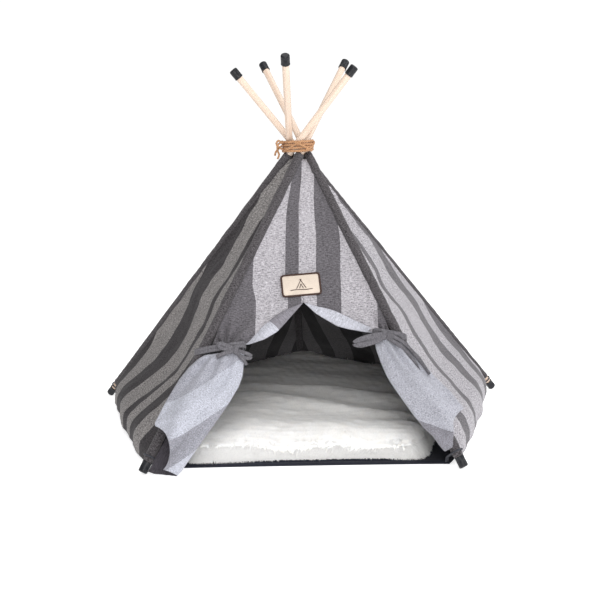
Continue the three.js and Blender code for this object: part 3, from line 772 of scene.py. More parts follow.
for name, key_a, key_b, joint_name, mat_out, mat_in, *shape in WALLS:
    pole_a, pole_b = poles[key_a], poles[key_b]
    grid, cloth, normal = wall_grid(pole_a, pole_b, *shape)
    wall = sheet("wall_" + name, grid, cloth, mat_out, mat_in, normal)
    stitches = hem_stitches("hem_stitches_" + name, grid, unit([normal[0], normal[1], 0]))
    for obj in (wall, stitches):
        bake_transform(obj)
        set_fan_weights(obj, joint_name)
    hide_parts("panel_" + name)

# ------------------------------------------------------------------ front halves and curtains
DOOR_TOP_Z = 0.222
front_left, front_right = poles["front_left"], poles["front_right"]
FRONT_X = unit(front_right.at_z(0.2) - front_left.at_z(0.2))
FRONT_N = unit(np.cross(FRONT_X, unit(front_left.at_z(0.3) - front_left.at_z(0.2))))
if FRONT_N[1] > 0:
    FRONT_N = -FRONT_N

# For each half of the front:
#   door_edge, turned_edge: the door opening's edge, and the free edge of the curtain turned
#     back over the pole; rows of (z, x, y) in mm, from the top down
#   edge_z, back_z, front_z: how low the curtain hangs at the door, behind and in front
#   front_power, back_blend: how that height changes across the front and back layers
#   spread: how much further apart the curtain's layers stand at the bottom
#   stripe_origin: z and x where the curtain's stripes start, and their slope in x
#   knot, bunch: centres of the tie's knot and of the gathered cloth, in mm
HALVES = {
    "left": SimpleNamespace(
        name="left", pole=front_left, sign=1, tie_z=0.158,
        door_edge=np.array([
            [221, 3.6, -138.9], [200, -19, -151], [184, -36, -161], [173, -56, -167.5],
            [168, -74, -171], [166.5, -86, -172.7], [149.5, -86, -182.6], [143, -86, -187.5],
            [125, -88, -202], [112, -93, -213.5], [92, -106, -232], [75, -119, -245],
            [46, -142, -268], [14, -167, -295], [4, -178, -303]]) / 1000,
        turned_edge=np.array([
            [157, -140, -190], [151, -153, -196], [141, -166, -204], [125, -180, -213],
            [98, -197, -230], [71, -212, -247]]) / 1000,
        edge_z=0.009, back_z=0.006, front_z=0.066, front_power=0.70, back_blend=(0.15, 0.75),
        spread=0.0100, stripe_origin=(0.160, -0.09, 0.5),
        knot=np.array([-98.0, -189.5, 163.0]), bunch=np.array([-88.0, -178.0, 158.0])),
    "right": SimpleNamespace(
        name="right", pole=front_right, sign=-1, tie_z=0.172,
        door_edge=np.array([
            [221, 6.2, -138.9], [208, 22.5, -146], [190, 55, -156], [185, 72, -159],
            [182, 92, -161], [180.5, 112, -161.5], [163.5, 112, -171.4], [157, 112.5, -176],
            [138, 119, -189], [121, 126, -202], [105, 136, -214], [91, 146, -225],
            [74, 159, -238.5], [58, 172, -250.5], [45, 186, -262], [30, 200, -275]]) / 1000,
        turned_edge=np.array([
            [171, 140, -180], [163, 158, -188], [149, 173, -197], [123, 195, -212],
            [107, 213, -230], [84, 231, -247]]) / 1000,
        edge_z=0.030, back_z=0.076, front_z=0.084, front_power=1.2, back_blend=(0.30, 0.95),
        spread=0.0036, stripe_origin=(0.170, 0.115, -0.27),
        knot=np.array([124.0, -180.0, 179.0]), bunch=np.array([113.0, -166.5, 172.0])),
}


def outline_point(outline, z):
    rising = outline[::-1]
    return np.array([np.interp(z, rising[:, 0], rising[:, k]) for k in (1, 2)] + [z])


def seam_point(z):
    """Centre seam, which wanders a little to the left above the door."""
    wander = 0.008 * smoothstep(0.224, 0.25, z) * (1 - 0.55 * smoothstep(0.35, 0.43, z))
    return (front_left.at_z(z) + front_right.at_z(z)) / 2 - FRONT_X * wander


def edge_point(half, z):
    return seam_point(z) if z > DOOR_TOP_Z else outline_point(half.door_edge, z)


def squash(obj):
    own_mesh(obj)


for half in HALVES.values():
    start = half.pole.at_z(0.2)
    across = unit(seam_point(0.2) - start)
    axis = unit(across - half.pole.dir * (across @ half.pole.dir))
    half.squash = tuple(axis), tuple(start + axis * 0.0095)


def build_front_half(half):
    """Front cloth from the pole to the centre seam and door edge, with a lip turned over it."""
    pole, sign, tie_z = half.pole, half.sign, half.tie_z
    # rows below the door top are spaced evenly along the door edge
    fall = np.linspace(DOOR_TOP_Z - 0.001, tie_z + 0.0005, 500)
    travel = arc_length(np.array([edge_point(half, z) for z in fall])) + 0.00006 * np.arange(500)
    upper_rows = 56
    levels = np.concatenate([np.linspace(CLOTH_TOP_Z, DOOR_TOP_Z + 0.001, upper_rows),
                             np.interp(np.linspace(0, travel[-1], 64), travel, fall)])
    lip_end = np.interp(-(tie_z + 0.0085), -fall, travel)
    flat, lip, turn = 45, 16, 6     # columns: flat cloth, lip, and the lip's rounded turn
    u = np.linspace(0, 1, flat)
    turn_angles = np.linspace(0, math.pi, turn + 1)[1:]
    grid = np.zeros((len(levels), flat + lip, 3))
    cloth = np.zeros((len(levels), flat + lip, 2))
    for i, z in enumerate(levels):
        start, end = pole.at_z(z), edge_point(half, z)
        width = np.linalg.norm(end - start)
        along = (end - start) / width
        below = z < DOOR_TOP_Z
        drop = smoothstep(DOOR_TOP_Z, tie_z, z)
        first, last = CLOTH_INSET + 0.006 * drop, width - (0.0015 if below else 0.0002)
        across = first + (last - first) * u
        # beside the door the cloth bags a little
        bag = 0.0035 * drop * np.sin(np.pi * u ** 1.5)
        row = start + along * across[:, None] + FRONT_N * bag[:, None]
        full = np.linalg.norm(seam_point(z) - start)
        taper = 1 - 0.24 * smoothstep(0.30, 0.42, z)
        shift = 0.008 * smoothstep(0.25, 0.224, z) * (1 if sign < 0 else 0.4)
        stripe_x = -sign * (full - across) / taper + shift
        grid[i, :flat] = row
        cloth[i, :flat, 0] = stripe_x
        cloth[i, :, 1] = z * 1.15
        tip = row[-1]
        if not below:
            # above the door the edge is tucked inwards along the seam
            for q in range(lip):
                grid[i, flat + q] = tip - (FRONT_N * 0.0006 + along * 0.00022) * (q + 1)
                cloth[i, flat + q, 0] = stripe_x[-1] + sign * 0.0004 * (q + 1)
            continue
        tangent = unit(edge_point(half, z - 0.0006) - edge_point(half, z + 0.0006))
        inward = unit(np.cross(tangent, FRONT_N))
        if inward @ (start + np.array([0, 0, 0.05]) - tip) < 0:
            inward = -inward
        share = min(1.0, np.interp(-z, -fall, travel) / lip_end)
        size = math.sin(math.pi * share ** 1.15) ** 0.8 if 0 < share < 1 else 0.0
        r = 0.0022 * max(size, 0.15)
        lip_x = -0.019 if half.name == "left" and share < 0.52 else 0.012
        for q in range(lip):
            if q < turn:
                angle = turn_angles[q]
                point = tip - inward * r * math.sin(angle) + FRONT_N * r * (1 - math.cos(angle))
            else:
                f = (q - turn + 1) / (lip - turn)
                rise = (0.0030 * math.sin(math.pi * f) - 0.0010 * f) * size
                point = tip + FRONT_N * (2 * r + rise) + inward * 0.0175 * size * f
            grid[i, flat + q] = point
            cloth[i, flat + q] = lip_x + 0.0008 * q, travel[min((i - upper_rows) * 8, 499)]

    z = levels[:, None]
    u = np.concatenate([u, np.ones(lip)])[None]
    edge = np.sin(np.pi * u) ** 0.8
    off_pole = smoothstep(0.0, 0.12, u)
    relief = ((0.0013 * ripple(grid, 140 + sign, 12.0) + 0.0005 * ripple(grid, 150 + sign, 33.0))
              * (0.35 + 0.65 * edge) * smoothstep(0.0, 0.1, u))
    relief = relief - 0.0035 * edge * np.exp(-((z - 0.30) / 0.07) ** 2)
    # folds running into the tie
    gather = pole.at_z(tie_z) * 0.42 + edge_point(half, tie_z) * 0.58
    reach = grid - gather
    distance = np.linalg.norm(reach, axis=-1)
    angle = np.arctan2(reach[..., 2], reach[..., 0] * sign)
    folds = (np.sin(angle * 10.0 + 0.8 * np.sin(distance * 60)) * 0.0048
             * np.exp(-((distance - 0.032) / 0.040) ** 2)
             * smoothstep(DOOR_TOP_Z + 0.02, tie_z, z))
    grid = grid + (relief + folds * off_pole)[..., None] * FRONT_N
    obj = sheet(f"front_half_{half.name}", grid, cloth, FRONT_CLOTH, FRONT_REVERSE, FRONT_N)
    place(obj, pole.body, f"front_panel_{half.name}")
    squash(obj)


def build_curtain(half):
    """Hanging curtain: inner layer from the pole to the door, then turned back over the pole."""
    pole, top_z = half.pole, half.tie_z - 0.0022
    back, turn, front = 28, 11, 50      # columns in the back layer, the turn and the front layer
    cols = back + turn + front
    drops = np.linspace(0, 1, 64)
    grid = np.zeros((len(drops), cols, 3))
    for i, v in enumerate(drops):
        for q in range(cols):
            bottom = half.edge_z
            if q < back:
                f = q / back
                bottom = (half.back_z
                          + (half.edge_z - half.back_z) * smoothstep(*half.back_blend, f))
            elif q < back + turn:
                f = (q - back) / (turn - 1)
            else:
                f = (q - back - turn + 1) / front
                bottom += (half.front_z - half.edge_z) * f ** half.front_power
            z = top_z + (bottom - top_z) * v
            start, end = pole.at_z(z), edge_point(half, z)
            along = unit(end - start)
            normal = unit(np.cross(along, pole.dir))
            if normal[1] >= 0:
                normal = -normal
            r = 0.0026 + half.spread * smoothstep(0.05, 0.9, v)
            tip = end - along * r * 0.9
            wave = math.sin(math.pi * f)
            if q < back:
                start = start + along * (0.0085 + 0.006 * (1 - v))
                point = start + (tip - start) * f - normal * (0.001 + (0.004 + 0.004 * v) * wave)
            elif q < back + turn:
                point = tip + along * r * wave + normal * r * (1 - math.cos(math.pi * f))
            else:
                start = tip + normal * 2 * r
                billow = 0.013 * wave * (0.25 + 0.75 * smoothstep(0, 0.5, v))
                point = (start + (outline_point(half.turned_edge, z) - start) * f
                         + normal * billow)
            grid[i, q] = point
    cloth = np.zeros((len(drops), cols, 2))
    origin_z, origin_x, slope = half.stripe_origin
    cloth[..., 0] = (origin_z - grid[..., 2]) + slope * (grid[..., 0] - origin_x)
    cloth[:, 1:, 1] = np.cumsum(np.linalg.norm(np.diff(grid, axis=1), axis=-1), axis=1)
    v, u = drops[:, None], np.linspace(0, 1, cols)[None]
    turned = (back + turn) / cols
    on_front = smoothstep(turned, turned + 0.10, u)
    below_tie = smoothstep(0, 0.10, v)
    fan_folds = (np.sin(2 * np.pi * (u * 6.5 + 0.18 * np.sin(v * 5))) * 0.0034
                 * below_tie * np.exp(-(v / 0.42) ** 2) * on_front)
    slow_folds = (np.sin(2 * np.pi * (u * 2.6 + 0.35 + 0.2 * v)) * 0.0030
                  * smoothstep(0.15, 0.6, v) * on_front)
    rumples = (0.0011 * ripple(grid, 230 + half.sign, 17.0)
               + 0.0005 * ripple(grid, 240 + half.sign, 40.0))
    grid = grid + (fan_folds + slow_folds + rumples * below_tie)[..., None] * FRONT_N
    grid[..., 2] = np.maximum(grid[..., 2], 0.003)
    name = half.name
    obj = sheet(f"door_curtain_{name}", grid, cloth, CURTAIN_OUT[name], CURTAIN_IN[name], FRONT_N)
    place(obj, f"door_curtain_{name}", f"curtain_{name}")
    squash(obj)


for half in HALVES.values():
    build_front_half(half)
    build_curtain(half)

# ------------------------------------------------------------------ curtain ties
# straps of each bow: half-width, seed, points along it, path offsets from the knot in mm
BOWS = {
    "left": [
        (0.0029, 31, 40, [(0, 0, 0), (8, -5, -1), (19, -6, -5), (24, -6, -9), (18, -7, -11),
                          (8, -6, -8), (0, -4, -3)]),
        (0.0029, 32, 40, [(0, 0, 0), (-9, -5, 6), (-20, -5, 11), (-25, -5, 9), (-19, -6, 4),
                          (-8, -5, 1), (0, -3, 0)]),
        (0.0027, 33, 40, [(0, 0, 0), (6, -6, -8), (13, -8, -14), (17, -9, -21)]),
        (0.0027, 34, 40, [(0, 0, 0), (-5, -6, -2), (-16, -7, -4), (-27, -7, -9)])],
    "right": [
        (0.0040, 41, 64, [(0, 0, 0), (-9, -6, 1), (-24, -8, -1), (-38, -8, -5), (-44, -8, -10),
                          (-36, -9, -12), (-22, -8, -9), (-8, -6, -5), (0, -3, -2)]),
        (0.0031, 43, 56, [(0, 0, 0), (12, -8, -1), (26, -14, -8), (46, -26, -27),
                          (63, -38, -51)]),
        (0.0031, 44, 56, [(0, 0, 0), (11, -9, -7), (25, -16, -15), (41, -28, -34),
                          (53, -38, -57)]),
        (0.0028, 45, 40, [(0, 0, 0), (10, -6, 3), (21, -8, 2), (27, -10, -4), (19, -9, -7),
                          (6, -6, -3)])],
}


def tie_strap(points_mm, half_width, count, seed):
    path = spline(points_mm / 1000, count)
    path = path + 0.0005 * np.stack([ripple(path, seed + k, 30) for k in range(3)], -1)
    return sweep(path, half_width * (1 + 0.10 * ripple(path, seed + 5, 25)),
                 0.0012 * (1 + 0.15 * ripple(path, seed + 6, 30)), UP, TIE_CLOTH)


def build_tie(half):
    """Two bands round the gathered cloth and pole, a knot of three loops, and a bow."""
    def signed_power(value, power):
        return np.sign(value) * abs(value) ** power

    # worked in mm and turned into metres for each sweep
    pole_point = half.pole.at_z(half.tie_z) * 1000
    span = half.bunch - pole_point
    across = unit([span[0], span[1], 0])
    up = unit([0, 0.5, 0.866])
    up = unit(up - across * (up @ across))
    normal = np.cross(across, up)
    if normal[1] >= 0:
        normal = -normal
    near, far = -10.5, np.linalg.norm(span) + 4.5
    centre = pole_point + across * (near + far) / 2 + normal * 2.0
    angle = ring_angles(30)[:, None]
    cos, sin = np.cos(angle), np.sin(angle)
    band = (centre + across * (far - near) / 2 * signed_power(cos, 0.8)
            + normal * 12.5 * signed_power(sin, 0.85)
            + UP * (4.5 * cos + 1.2 * np.sin(2 * angle + 0.5))) / 1000
    parts = [sweep(band, 0.0030, 0.0012, up, TIE_CLOTH, closed=True),
             sweep(band + up * 0.0046 + normal * 0.0005, 0.0026, 0.0012, up, TIE_CLOTH,
                   closed=True)]
    angle = ring_angles(18)[:, None]
    for r, axis in ((5.6, across), (5.0, unit(across + up * 1.2)), (4.6, unit(across - up * 1.4))):
        side = unit(np.cross(axis, normal))
        other = unit(np.cross(axis, side))
        loop = half.knot + side * r * np.cos(angle) + other * r * 0.8 * np.sin(angle)
        parts.append(sweep(loop / 1000, 0.0030, 0.0018, axis, TIE_CLOTH, closed=True))
    tie = join(parts, f"curtain_tie_{half.name}")
    place(tie, half.pole.body, f"tie_{half.name}")
    bow = join([tie_strap(half.knot + np.array(offsets), half_width, count, seed)
                for half_width, seed, count, offsets in BOWS[half.name]],
               f"curtain_tie_bow_{half.name}")
    place(bow, f"door_curtain_{half.name}")
    for obj in (tie, bow):
        squash(obj)


for half in HALVES.values():
    build_tie(half)

# ------------------------------------------------------------------ lashing rope
# turns crossing over the coil: start and end angle, start and end height from LASH_Z
CROSSINGS = [(-2.7, -1.2, -0.0078, 0.0078), (-2.0, -0.45, 0.0080, -0.0074),
             (-1.2, 0.4, -0.0070, 0.0078), (0.5, 2.2, 0.0078, -0.0078),
             (1.7, 3.3, -0.0078, 0.0078)]
# knot and tails, (x, y, z) in mm
ROPE_TAILS = [
    [(-22.5, -16.5, 464), (-28.5, -14, 463), (-33.0, -12.5, 458), (-32.5, -12.5, 450),
     (-30.5, -13.5, 444), (-33, -15, 437.5)],
    [(-23.5, -13.5, 452), (-29, -13.5, 455), (-34.5, -13, 461), (-31.5, -13, 466.5),
     (-26, -13.5, 464)],
    [(-24.5, -11, 459), (-30, -10, 455), (-35.5, -10, 449), (-37.5, -11, 443)]]


def twisted_rope(path, strand_r, lay, phase=0.0):
    """Three strands twisted about the path, one turn per lay."""
    first, second = path_axes(path, UP)
    lengths = arc_length(path)
    strands = []
    for s in range(3):
        angle = (2 * math.pi * (lengths / lay + s / 3) + phase)[:, None]
        points = path + (first * np.cos(angle) + second * np.sin(angle)) * strand_r * 1.05
        strands.append(sweep(points, strand_r * (1 + 0.06 * ripple(points, 7 + s, 90)), strand_r,
                             (0.2, 0.1, 1), JUTE, seg=8))
    return strands


def build_lashing():
    turns, per_turn, pitch = 3.6, 130, 0.0047
    turn = np.arange(int(turns * per_turn) + 1) / per_turn
    angle = turn * 2 * math.pi + 2.6
    r = 0.0242 + 0.0003 * np.sin(angle * 3.1)
    z = LASH_Z + pitch * (turn - turns / 2) + 0.0004 * np.sin(angle * 2.3)
    coil = np.stack([r * np.cos(angle), r * np.sin(angle), z], -1)
    parts = twisted_rope(coil, strand_r=0.00108, lay=0.0085)
    t = np.linspace(0, 1, 90)
    for i, (angle_0, angle_1, z0, z1) in enumerate(CROSSINGS):
        angle = angle_0 + (angle_1 - angle_0) * t
        r = 0.0266 + 0.0004 * np.sin(t * 9) - 0.0026 * np.abs(2 * t - 1) ** 6
        z = LASH_Z + z0 + (z1 - z0) * smoothstep(0, 1, t)
        path = np.stack([r * np.cos(angle), r * np.sin(angle), z], -1)
        parts += twisted_rope(path, strand_r=0.00095, lay=0.0080, phase=i)
    place(join(parts, "lashing_rope_wraps"), "back_pole", "lashing_rope")
    parts = []
    for i, points in enumerate(ROPE_TAILS):
        path = spline(np.array(points) / 1000, 70)
        parts += twisted_rope(path, strand_r=0.00085, lay=0.0075, phase=i)
    place(join(parts, "rope_knot_and_tails"), "back_pole", "rope_tail")


build_lashing()

# ------------------------------------------------------------------ label patch
LABEL_W, LABEL_H = 0.031, 0.0185    # half-sizes
LABEL_TILT = math.radians(4.0)
# rings of half-width, half-height, corner radius, height above the label's plane
LABEL_FACE = [
    (0.002, 0.001, 0.0005, 0.0007), (0.012, 0.006, 0.002, 0.0007), (0.022, 0.011, 0.003, 0.0006),
    (LABEL_W - 0.0024, LABEL_H - 0.0024, 0.0032, 0.0006),
    (LABEL_W - 0.0012, LABEL_H - 0.0012, 0.0045, 0.0002),
    (LABEL_W - 0.0012, LABEL_H - 0.0012, 0.0045, -0.0003),
    (0.012, 0.006, 0.002, -0.0003), (0.002, 0.001, 0.0005, -0.0003)]
LABEL_BINDING = [
    (LABEL_W - 0.0030, LABEL_H - 0.0030, 0.0030, 0.0006),
    (LABEL_W - 0.0026, LABEL_H - 0.0026, 0.0033, 0.0013),
    (LABEL_W - 0.0014, LABEL_H - 0.0014, 0.0043, 0.0016),
    (LABEL_W - 0.0002, LABEL_H - 0.0002, 0.0052, 0.0012), (LABEL_W, LABEL_H, 0.0055, 0.0003),
    (LABEL_W - 0.0004, LABEL_H - 0.0004, 0.005, -0.0003),
    (LABEL_W - 0.0026, LABEL_H - 0.0026, 0.0033, -0.0002)]
# embroidered tent on a ground line: strokes of (x, y) in mm on the label
LABEL_STROKES = [
    [(-7.5, -6), (-3.6, 0.6), (0, 7.2)], [(7.5, -6), (3.6, 0.6), (0, 7.2)],
    [(0, 7.2), (1.1, 9.0)], [(0, 7.2), (-1.1, 9.0)],
    [(0, 1.2), (-1.4, -2.4), (-3.0, -6)], [(0, 1.2), (1.4, -2.4), (3.0, -6)],
    [(-17, -8.2), (-6, -7.6), (6, -8.5), (17, -7.9)]]

label_centre = ((front_left.at_z(0.247) + front_right.at_z(0.247)) / 2 - FRONT_X * 0.004
                + FRONT_N * 0.0026)
level_x = unit(front_right.at_z(0.244) - front_left.at_z(0.244))
level_y = unit(np.cross(FRONT_N, level_x))
if level_y[2] <= 0:
    level_y = -level_y
label_x = level_x * math.cos(LABEL_TILT) + level_y * math.sin(LABEL_TILT)
label_y = level_y * math.cos(LABEL_TILT) - level_x * math.sin(LABEL_TILT)


def label_point(x, y, height):
    bend = -0.9 * x * x - 0.4 * y * y
    return label_centre + label_x * x + label_y * y + FRONT_N * (height + bend)


def label_piece(name, rings, mat, closed):
    """Piece through rounded rectangles; closed joins the last ring to the first."""
    verts = []
    for half_w, half_h, r, height in rings:
        for corner, (sx, sy) in enumerate([(1, 1), (-1, 1), (-1, -1), (1, -1)]):
            for angle in np.radians(90 * corner + np.linspace(0, 90, 9)):
                verts.append(label_point(sx * (half_w - r) + r * math.cos(angle),
                                         sy * (half_h - r) + r * math.sin(angle), height))
    rows = ring_rows(len(rings), len(verts) // len(rings))
    if closed:
        faces = bridge(*rows, rows[0])
    else:
        faces = bridge(*rows) + [tuple(rows[0]), tuple(rows[-1][::-1])]
    return make_solid(name, np.array(verts), faces, mat)


def build_label():
    face = label_piece("label_face", LABEL_FACE, LABEL_CLOTH, closed=False)
    binding = label_piece("label_binding", LABEL_BINDING, BINDING_CLOTH, closed=True)
    strokes = []
    for stroke in LABEL_STROKES:
        path = spline([label_point(x / 1000, y / 1000, 0.0009) for x, y in stroke], 30)
        strokes.append(sweep(path, 0.00044, 0.00055, FRONT_N, BINDING_CLOTH, seg=8))
    for obj in (face, binding, join(strokes, "label_embroidery")):
        place(obj, "front_left_pole")
        squash(obj)
    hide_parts("label_patch")


build_label()

# ------------------------------------------------------------------ floor sheet, corner loops
# outward swell of each edge, from the back corner round by the left, and its power
EDGE_SWELL = [(0.028, 0.7), (0.045, 0.7), (-0.010, 0.5), (0.045, 0.7), (0.028, 0.7)]


def sheet_corner(pole):
    """Corner of the floor sheet, 27 mm inside the pole's foot."""
    radius = math.hypot(pole.foot[0], pole.foot[1])
    return pole.foot[:2] * ((radius - 0.027) / radius)


def build_ground_sheet():
    rings, seg = 26, 200
    corners = [sheet_corner(pole) for pole in poles.values()]
    outline = []
    for i, (swell, power) in enumerate(EDGE_SWELL):
        for t in np.linspace(0, 1, seg // 5, endpoint=False):
            point = corners[i] * (1 - t) + corners[(i + 1) % 5] * t
            outline.append(point * (1 + swell * math.sin(math.pi * t) ** power))
    share = (np.arange(1, rings + 1) / rings)[:, None, None]
    top = np.zeros((rings, seg, 3))
    top[..., :2] = np.array(outline) * share
    bottom = top.copy()
    top[..., 2] = 0.0017 + 0.0006 * np.maximum(0, ripple(bottom, 301, 9)) * share[..., 0] ** 2
    top[-2, :, 2] += 0.0004
    bottom[-1, :, 2] = 0.0002
    verts = np.concatenate([[(0, 0, 0.0016)], top.reshape(-1, 3),
                            [(0, 0, 0)], bottom.reshape(-1, 3)])
    under = 1 + rings * seg     # index of the lower centre
    upper_rows, lower_rows = ring_rows(rings, seg, 1), ring_rows(rings, seg, under + 1)
    faces = (fan(0, upper_rows[0]) + fan(under, lower_rows[0]) + bridge(*upper_rows)
             + bridge(*lower_rows[::-1]) + bridge(upper_rows[-1], lower_rows[-1]))
    obj = make_solid("ground_sheet", verts, faces, FLOOR_CLOTH)
    place(obj, "back_pole", "floor_sheet")


def build_corner_loop(pole):
    """Elastic loop round the pole's foot, joined by a tab to the floor sheet's corner."""
    on_dowel = pole.key.startswith("side")
    r = DOWEL_R + 0.0016 if on_dowel else SLEEVE_R + 0.0019
    centre = pole.at(CAP_LEN + (0.0055 if on_dowel else 0.008))
    level = unit([pole.dir[0], pole.dir[1], 0])
    inward = level * pole.dir[2] - UP * math.sqrt(1 - pole.dir[2] ** 2)
    side = np.cross(pole.dir, inward)
    angle = ring_angles(64)[:, None]
    cos = np.cos(angle)
    points = (centre + inward * (r * cos + 0.013 * np.maximum(cos, 0) ** 3)
              + side * r * np.sin(angle))
    loop = sweep(points, 0.0012, 0.0012, pole.dir, CORD, seg=10, closed=True)
    tip = centre + inward * (r + 0.012)
    corner = np.array([*(sheet_corner(pole) * 0.985), 0.0022])
    middle = (tip + corner) / 2 + np.array([0, 0, 0.001])
    tab = sweep(spline([tip, middle, corner], 14), 0.0040, 0.0007, pole.side, CORD, seg=10)
    obj = join([loop, tab], f"elastic_corner_loop_{pole.key}")
    place(obj, "back_pole", f"corner_loop_{pole.key}")


build_ground_sheet()
for pole in poles.values():
    build_corner_loop(pole)

# ------------------------------------------------------------------ cushion
CUSHION_R = 0.312
CUSHION_CENTRE = np.array([0, 0.0166])
COVER_BOTTOM_Z = 0.0046
COVER_MAX_Z = 0.0432    # highest the blown-up cover may reach
# one lock of pile: triangular root and middle, then the tip
LOCK_FACES = [(2, 1, 0), (0, 1, 4, 3), (1, 2, 5, 4), (2, 0, 3, 5), (3, 4, 6), (4, 5, 6), (5, 3, 6)]


def pentagon(radius, rounding):
    """Rounded pentagon with a corner at +Y, its sides pulled in a little between the corners."""
    points = []
    for i in range(5):
        angle = math.pi / 2 + 2 * math.pi * i / 5
        reach = radius - rounding / math.sin(math.radians(54))
        centre = CUSHION_CENTRE + reach * np.array([math.cos(angle), math.sin(angle)])
        for a in np.linspace(angle - math.pi / 5, angle + math.pi / 5, 10):
            points.append(centre + rounding * np.array([math.cos(a), math.sin(a)]))
    outline = []
    for a, b in zip(points, points[1:] + points[:1]):
        length = np.linalg.norm(b - a)
        steps = max(1, int(length / 0.012))
        for k in range(steps):
            f = k / steps
            point = a + (b - a) * f
            if length > 0.08:
                pull = 1 - 0.006 * math.sin(math.pi * f)
                point = CUSHION_CENTRE + (point - CUSHION_CENTRE) * pull
            outline.append(point)
    return np.array(outline)


def pad(name, radius, rounding, z0, z1, mat):
    """Crowned pad: rings from the middle out over the top, round the edge and back under."""
    outline = pentagon(radius, rounding)
    # (share of the outline, share of the height)
    profile = [(f, 1.0 - 0.10 * f ** 3) for f in np.linspace(0.06, 0.88, 15)]
    profile += [(0.88 + 0.12 * math.sin(a), 0.48 + 0.42 * math.cos(a))
                for a in np.linspace(0.2, math.pi * 0.52, 6)]
    profile += [(0.996, 0.34), (1.0, 0.20), (1.006, 0.08), (1.004, 0.01)]
    profile += [(f, 0.0) for f in np.linspace(0.97, 0.06, 14)]
    verts = []
    for f, h in profile:
        for x, y in CUSHION_CENTRE + (outline - CUSHION_CENTRE) * f:
            verts.append((x, y, z0 + (z1 - z0) * h))
    rows = ring_rows(len(profile), len(outline))
    faces = bridge(*rows) + fan(len(verts), rows[0]) + fan(len(verts) + 1, rows[-1])
    verts += [(*CUSHION_CENTRE, z1), (*CUSHION_CENTRE, z0)]
    return make_solid(name, np.array(verts), faces, mat)


def bake_modifiers(obj):
    depsgraph = bpy.context.evaluated_depsgraph_get()
    return bpy.data.meshes.new_from_object(obj.evaluated_get(depsgraph))


def inflate_cover(cover):
    """Blow the cover up a little with a cloth simulation, then subdivide it."""
    remesh = cover.modifiers.new("remesh", "REMESH")
    remesh.mode = "VOXEL"
    remesh.voxel_size = 0.0075
    mesh = bake_modifiers(cover)
    cover.modifiers.clear()
    cover.data = mesh
    rest = read_vectors(mesh.vertices)

    cloth = cover.modifiers.new("cloth", "CLOTH")
    settings = cloth.settings
    settings.quality = 4
    settings.mass = 0.25
    settings.tension_stiffness = 14
    settings.compression_stiffness = 10
    settings.shear_stiffness = 6
    settings.bending_stiffness = 1.2
    settings.use_pressure = True
    settings.uniform_pressure_force = 4.0
    settings.effector_weights.gravity = 0.0
    cloth.collision_settings.use_self_collision = False
    cloth.collision_settings.use_collision = False
    cloth.point_cache.frame_start = 1
    cloth.point_cache.frame_end = 20
    for frame_number in range(1, 21):
        bpy.context.scene.frame_set(frame_number)
    shift = read_vectors(bake_modifiers(cover).vertices) - rest
    cover.modifiers.clear()
    bpy.context.scene.frame_set(1)

    limit = 0.009       # no point moves further than this
    shift *= limit / (limit + np.linalg.norm(shift, axis=1, keepdims=True))
    coords = rest + shift
    height = coords[:, 2].max() - COVER_BOTTOM_Z
    squeeze = min(1.0, (COVER_MAX_Z - COVER_BOTTOM_Z) / height)
    coords[:, 2] = COVER_BOTTOM_Z + (coords[:, 2] - COVER_BOTTOM_Z) * squeeze
    coords[:, 2] = np.maximum(coords[:, 2], COVER_BOTTOM_Z)
    mesh.vertices.foreach_set("co", coords.ravel())
    mesh.update()
    subdivide = cover.modifiers.new("subdivide", "SUBSURF")
    subdivide.levels = subdivide.render_levels = 1
    mesh = bake_modifiers(cover)
    cover.modifiers.clear()
    cover.data = mesh
    if not len(mesh.materials):     # in case the modifiers lose the material
        mesh.materials.append(PLUSH)


def build_cover():
    cover = pad("cushion_plush_cover", CUSHION_R - 0.0005, 0.034, COVER_BOTTOM_Z, 0.0405, PLUSH)
    inflate_cover(cover)
    mesh = cover.data
    mesh.update()
    coords = read_vectors(mesh.vertices)
    normals = read_vectors(mesh.vertices, "normal")
    on_top = smoothstep(0.2, 0.8, normals[:, 2])
    # soft folds, mostly left to right, and the pile's own clumping
    wave = np.sin(2 * np.pi * (coords[:, 1] * 15 + 0.22 * coords[:, 0] * 15
                               + 0.5 * ripple(coords, 401, 3.0)))
    folds = (0.0046 * wave * smoothstep(-0.5, 0.9, ripple(coords, 402, 4.0))
             + 0.0020 * ripple(coords * [0.5, 1, 1], 403, 13.0))
    clumps = 0.00055 * ripple(coords, 404, 42.0) + 0.00035 * ripple(coords, 405, 95.0)
    relief = folds * on_top * 0.8 + clumps * (0.5 + 0.5 * on_top)
    coords += normals * (relief * smoothstep(0.004, 0.012, coords[:, 2]))[:, None]
    coords[:, 2] = np.maximum(coords[:, 2], 0.0044)
    mesh.vertices.foreach_set("co", coords.ravel())
    mesh.update()
    mesh.polygons.foreach_set("use_smooth", np.full(len(mesh.polygons), True))
    place(cover, "cushion", "cushion_cover")
    return mesh, coords


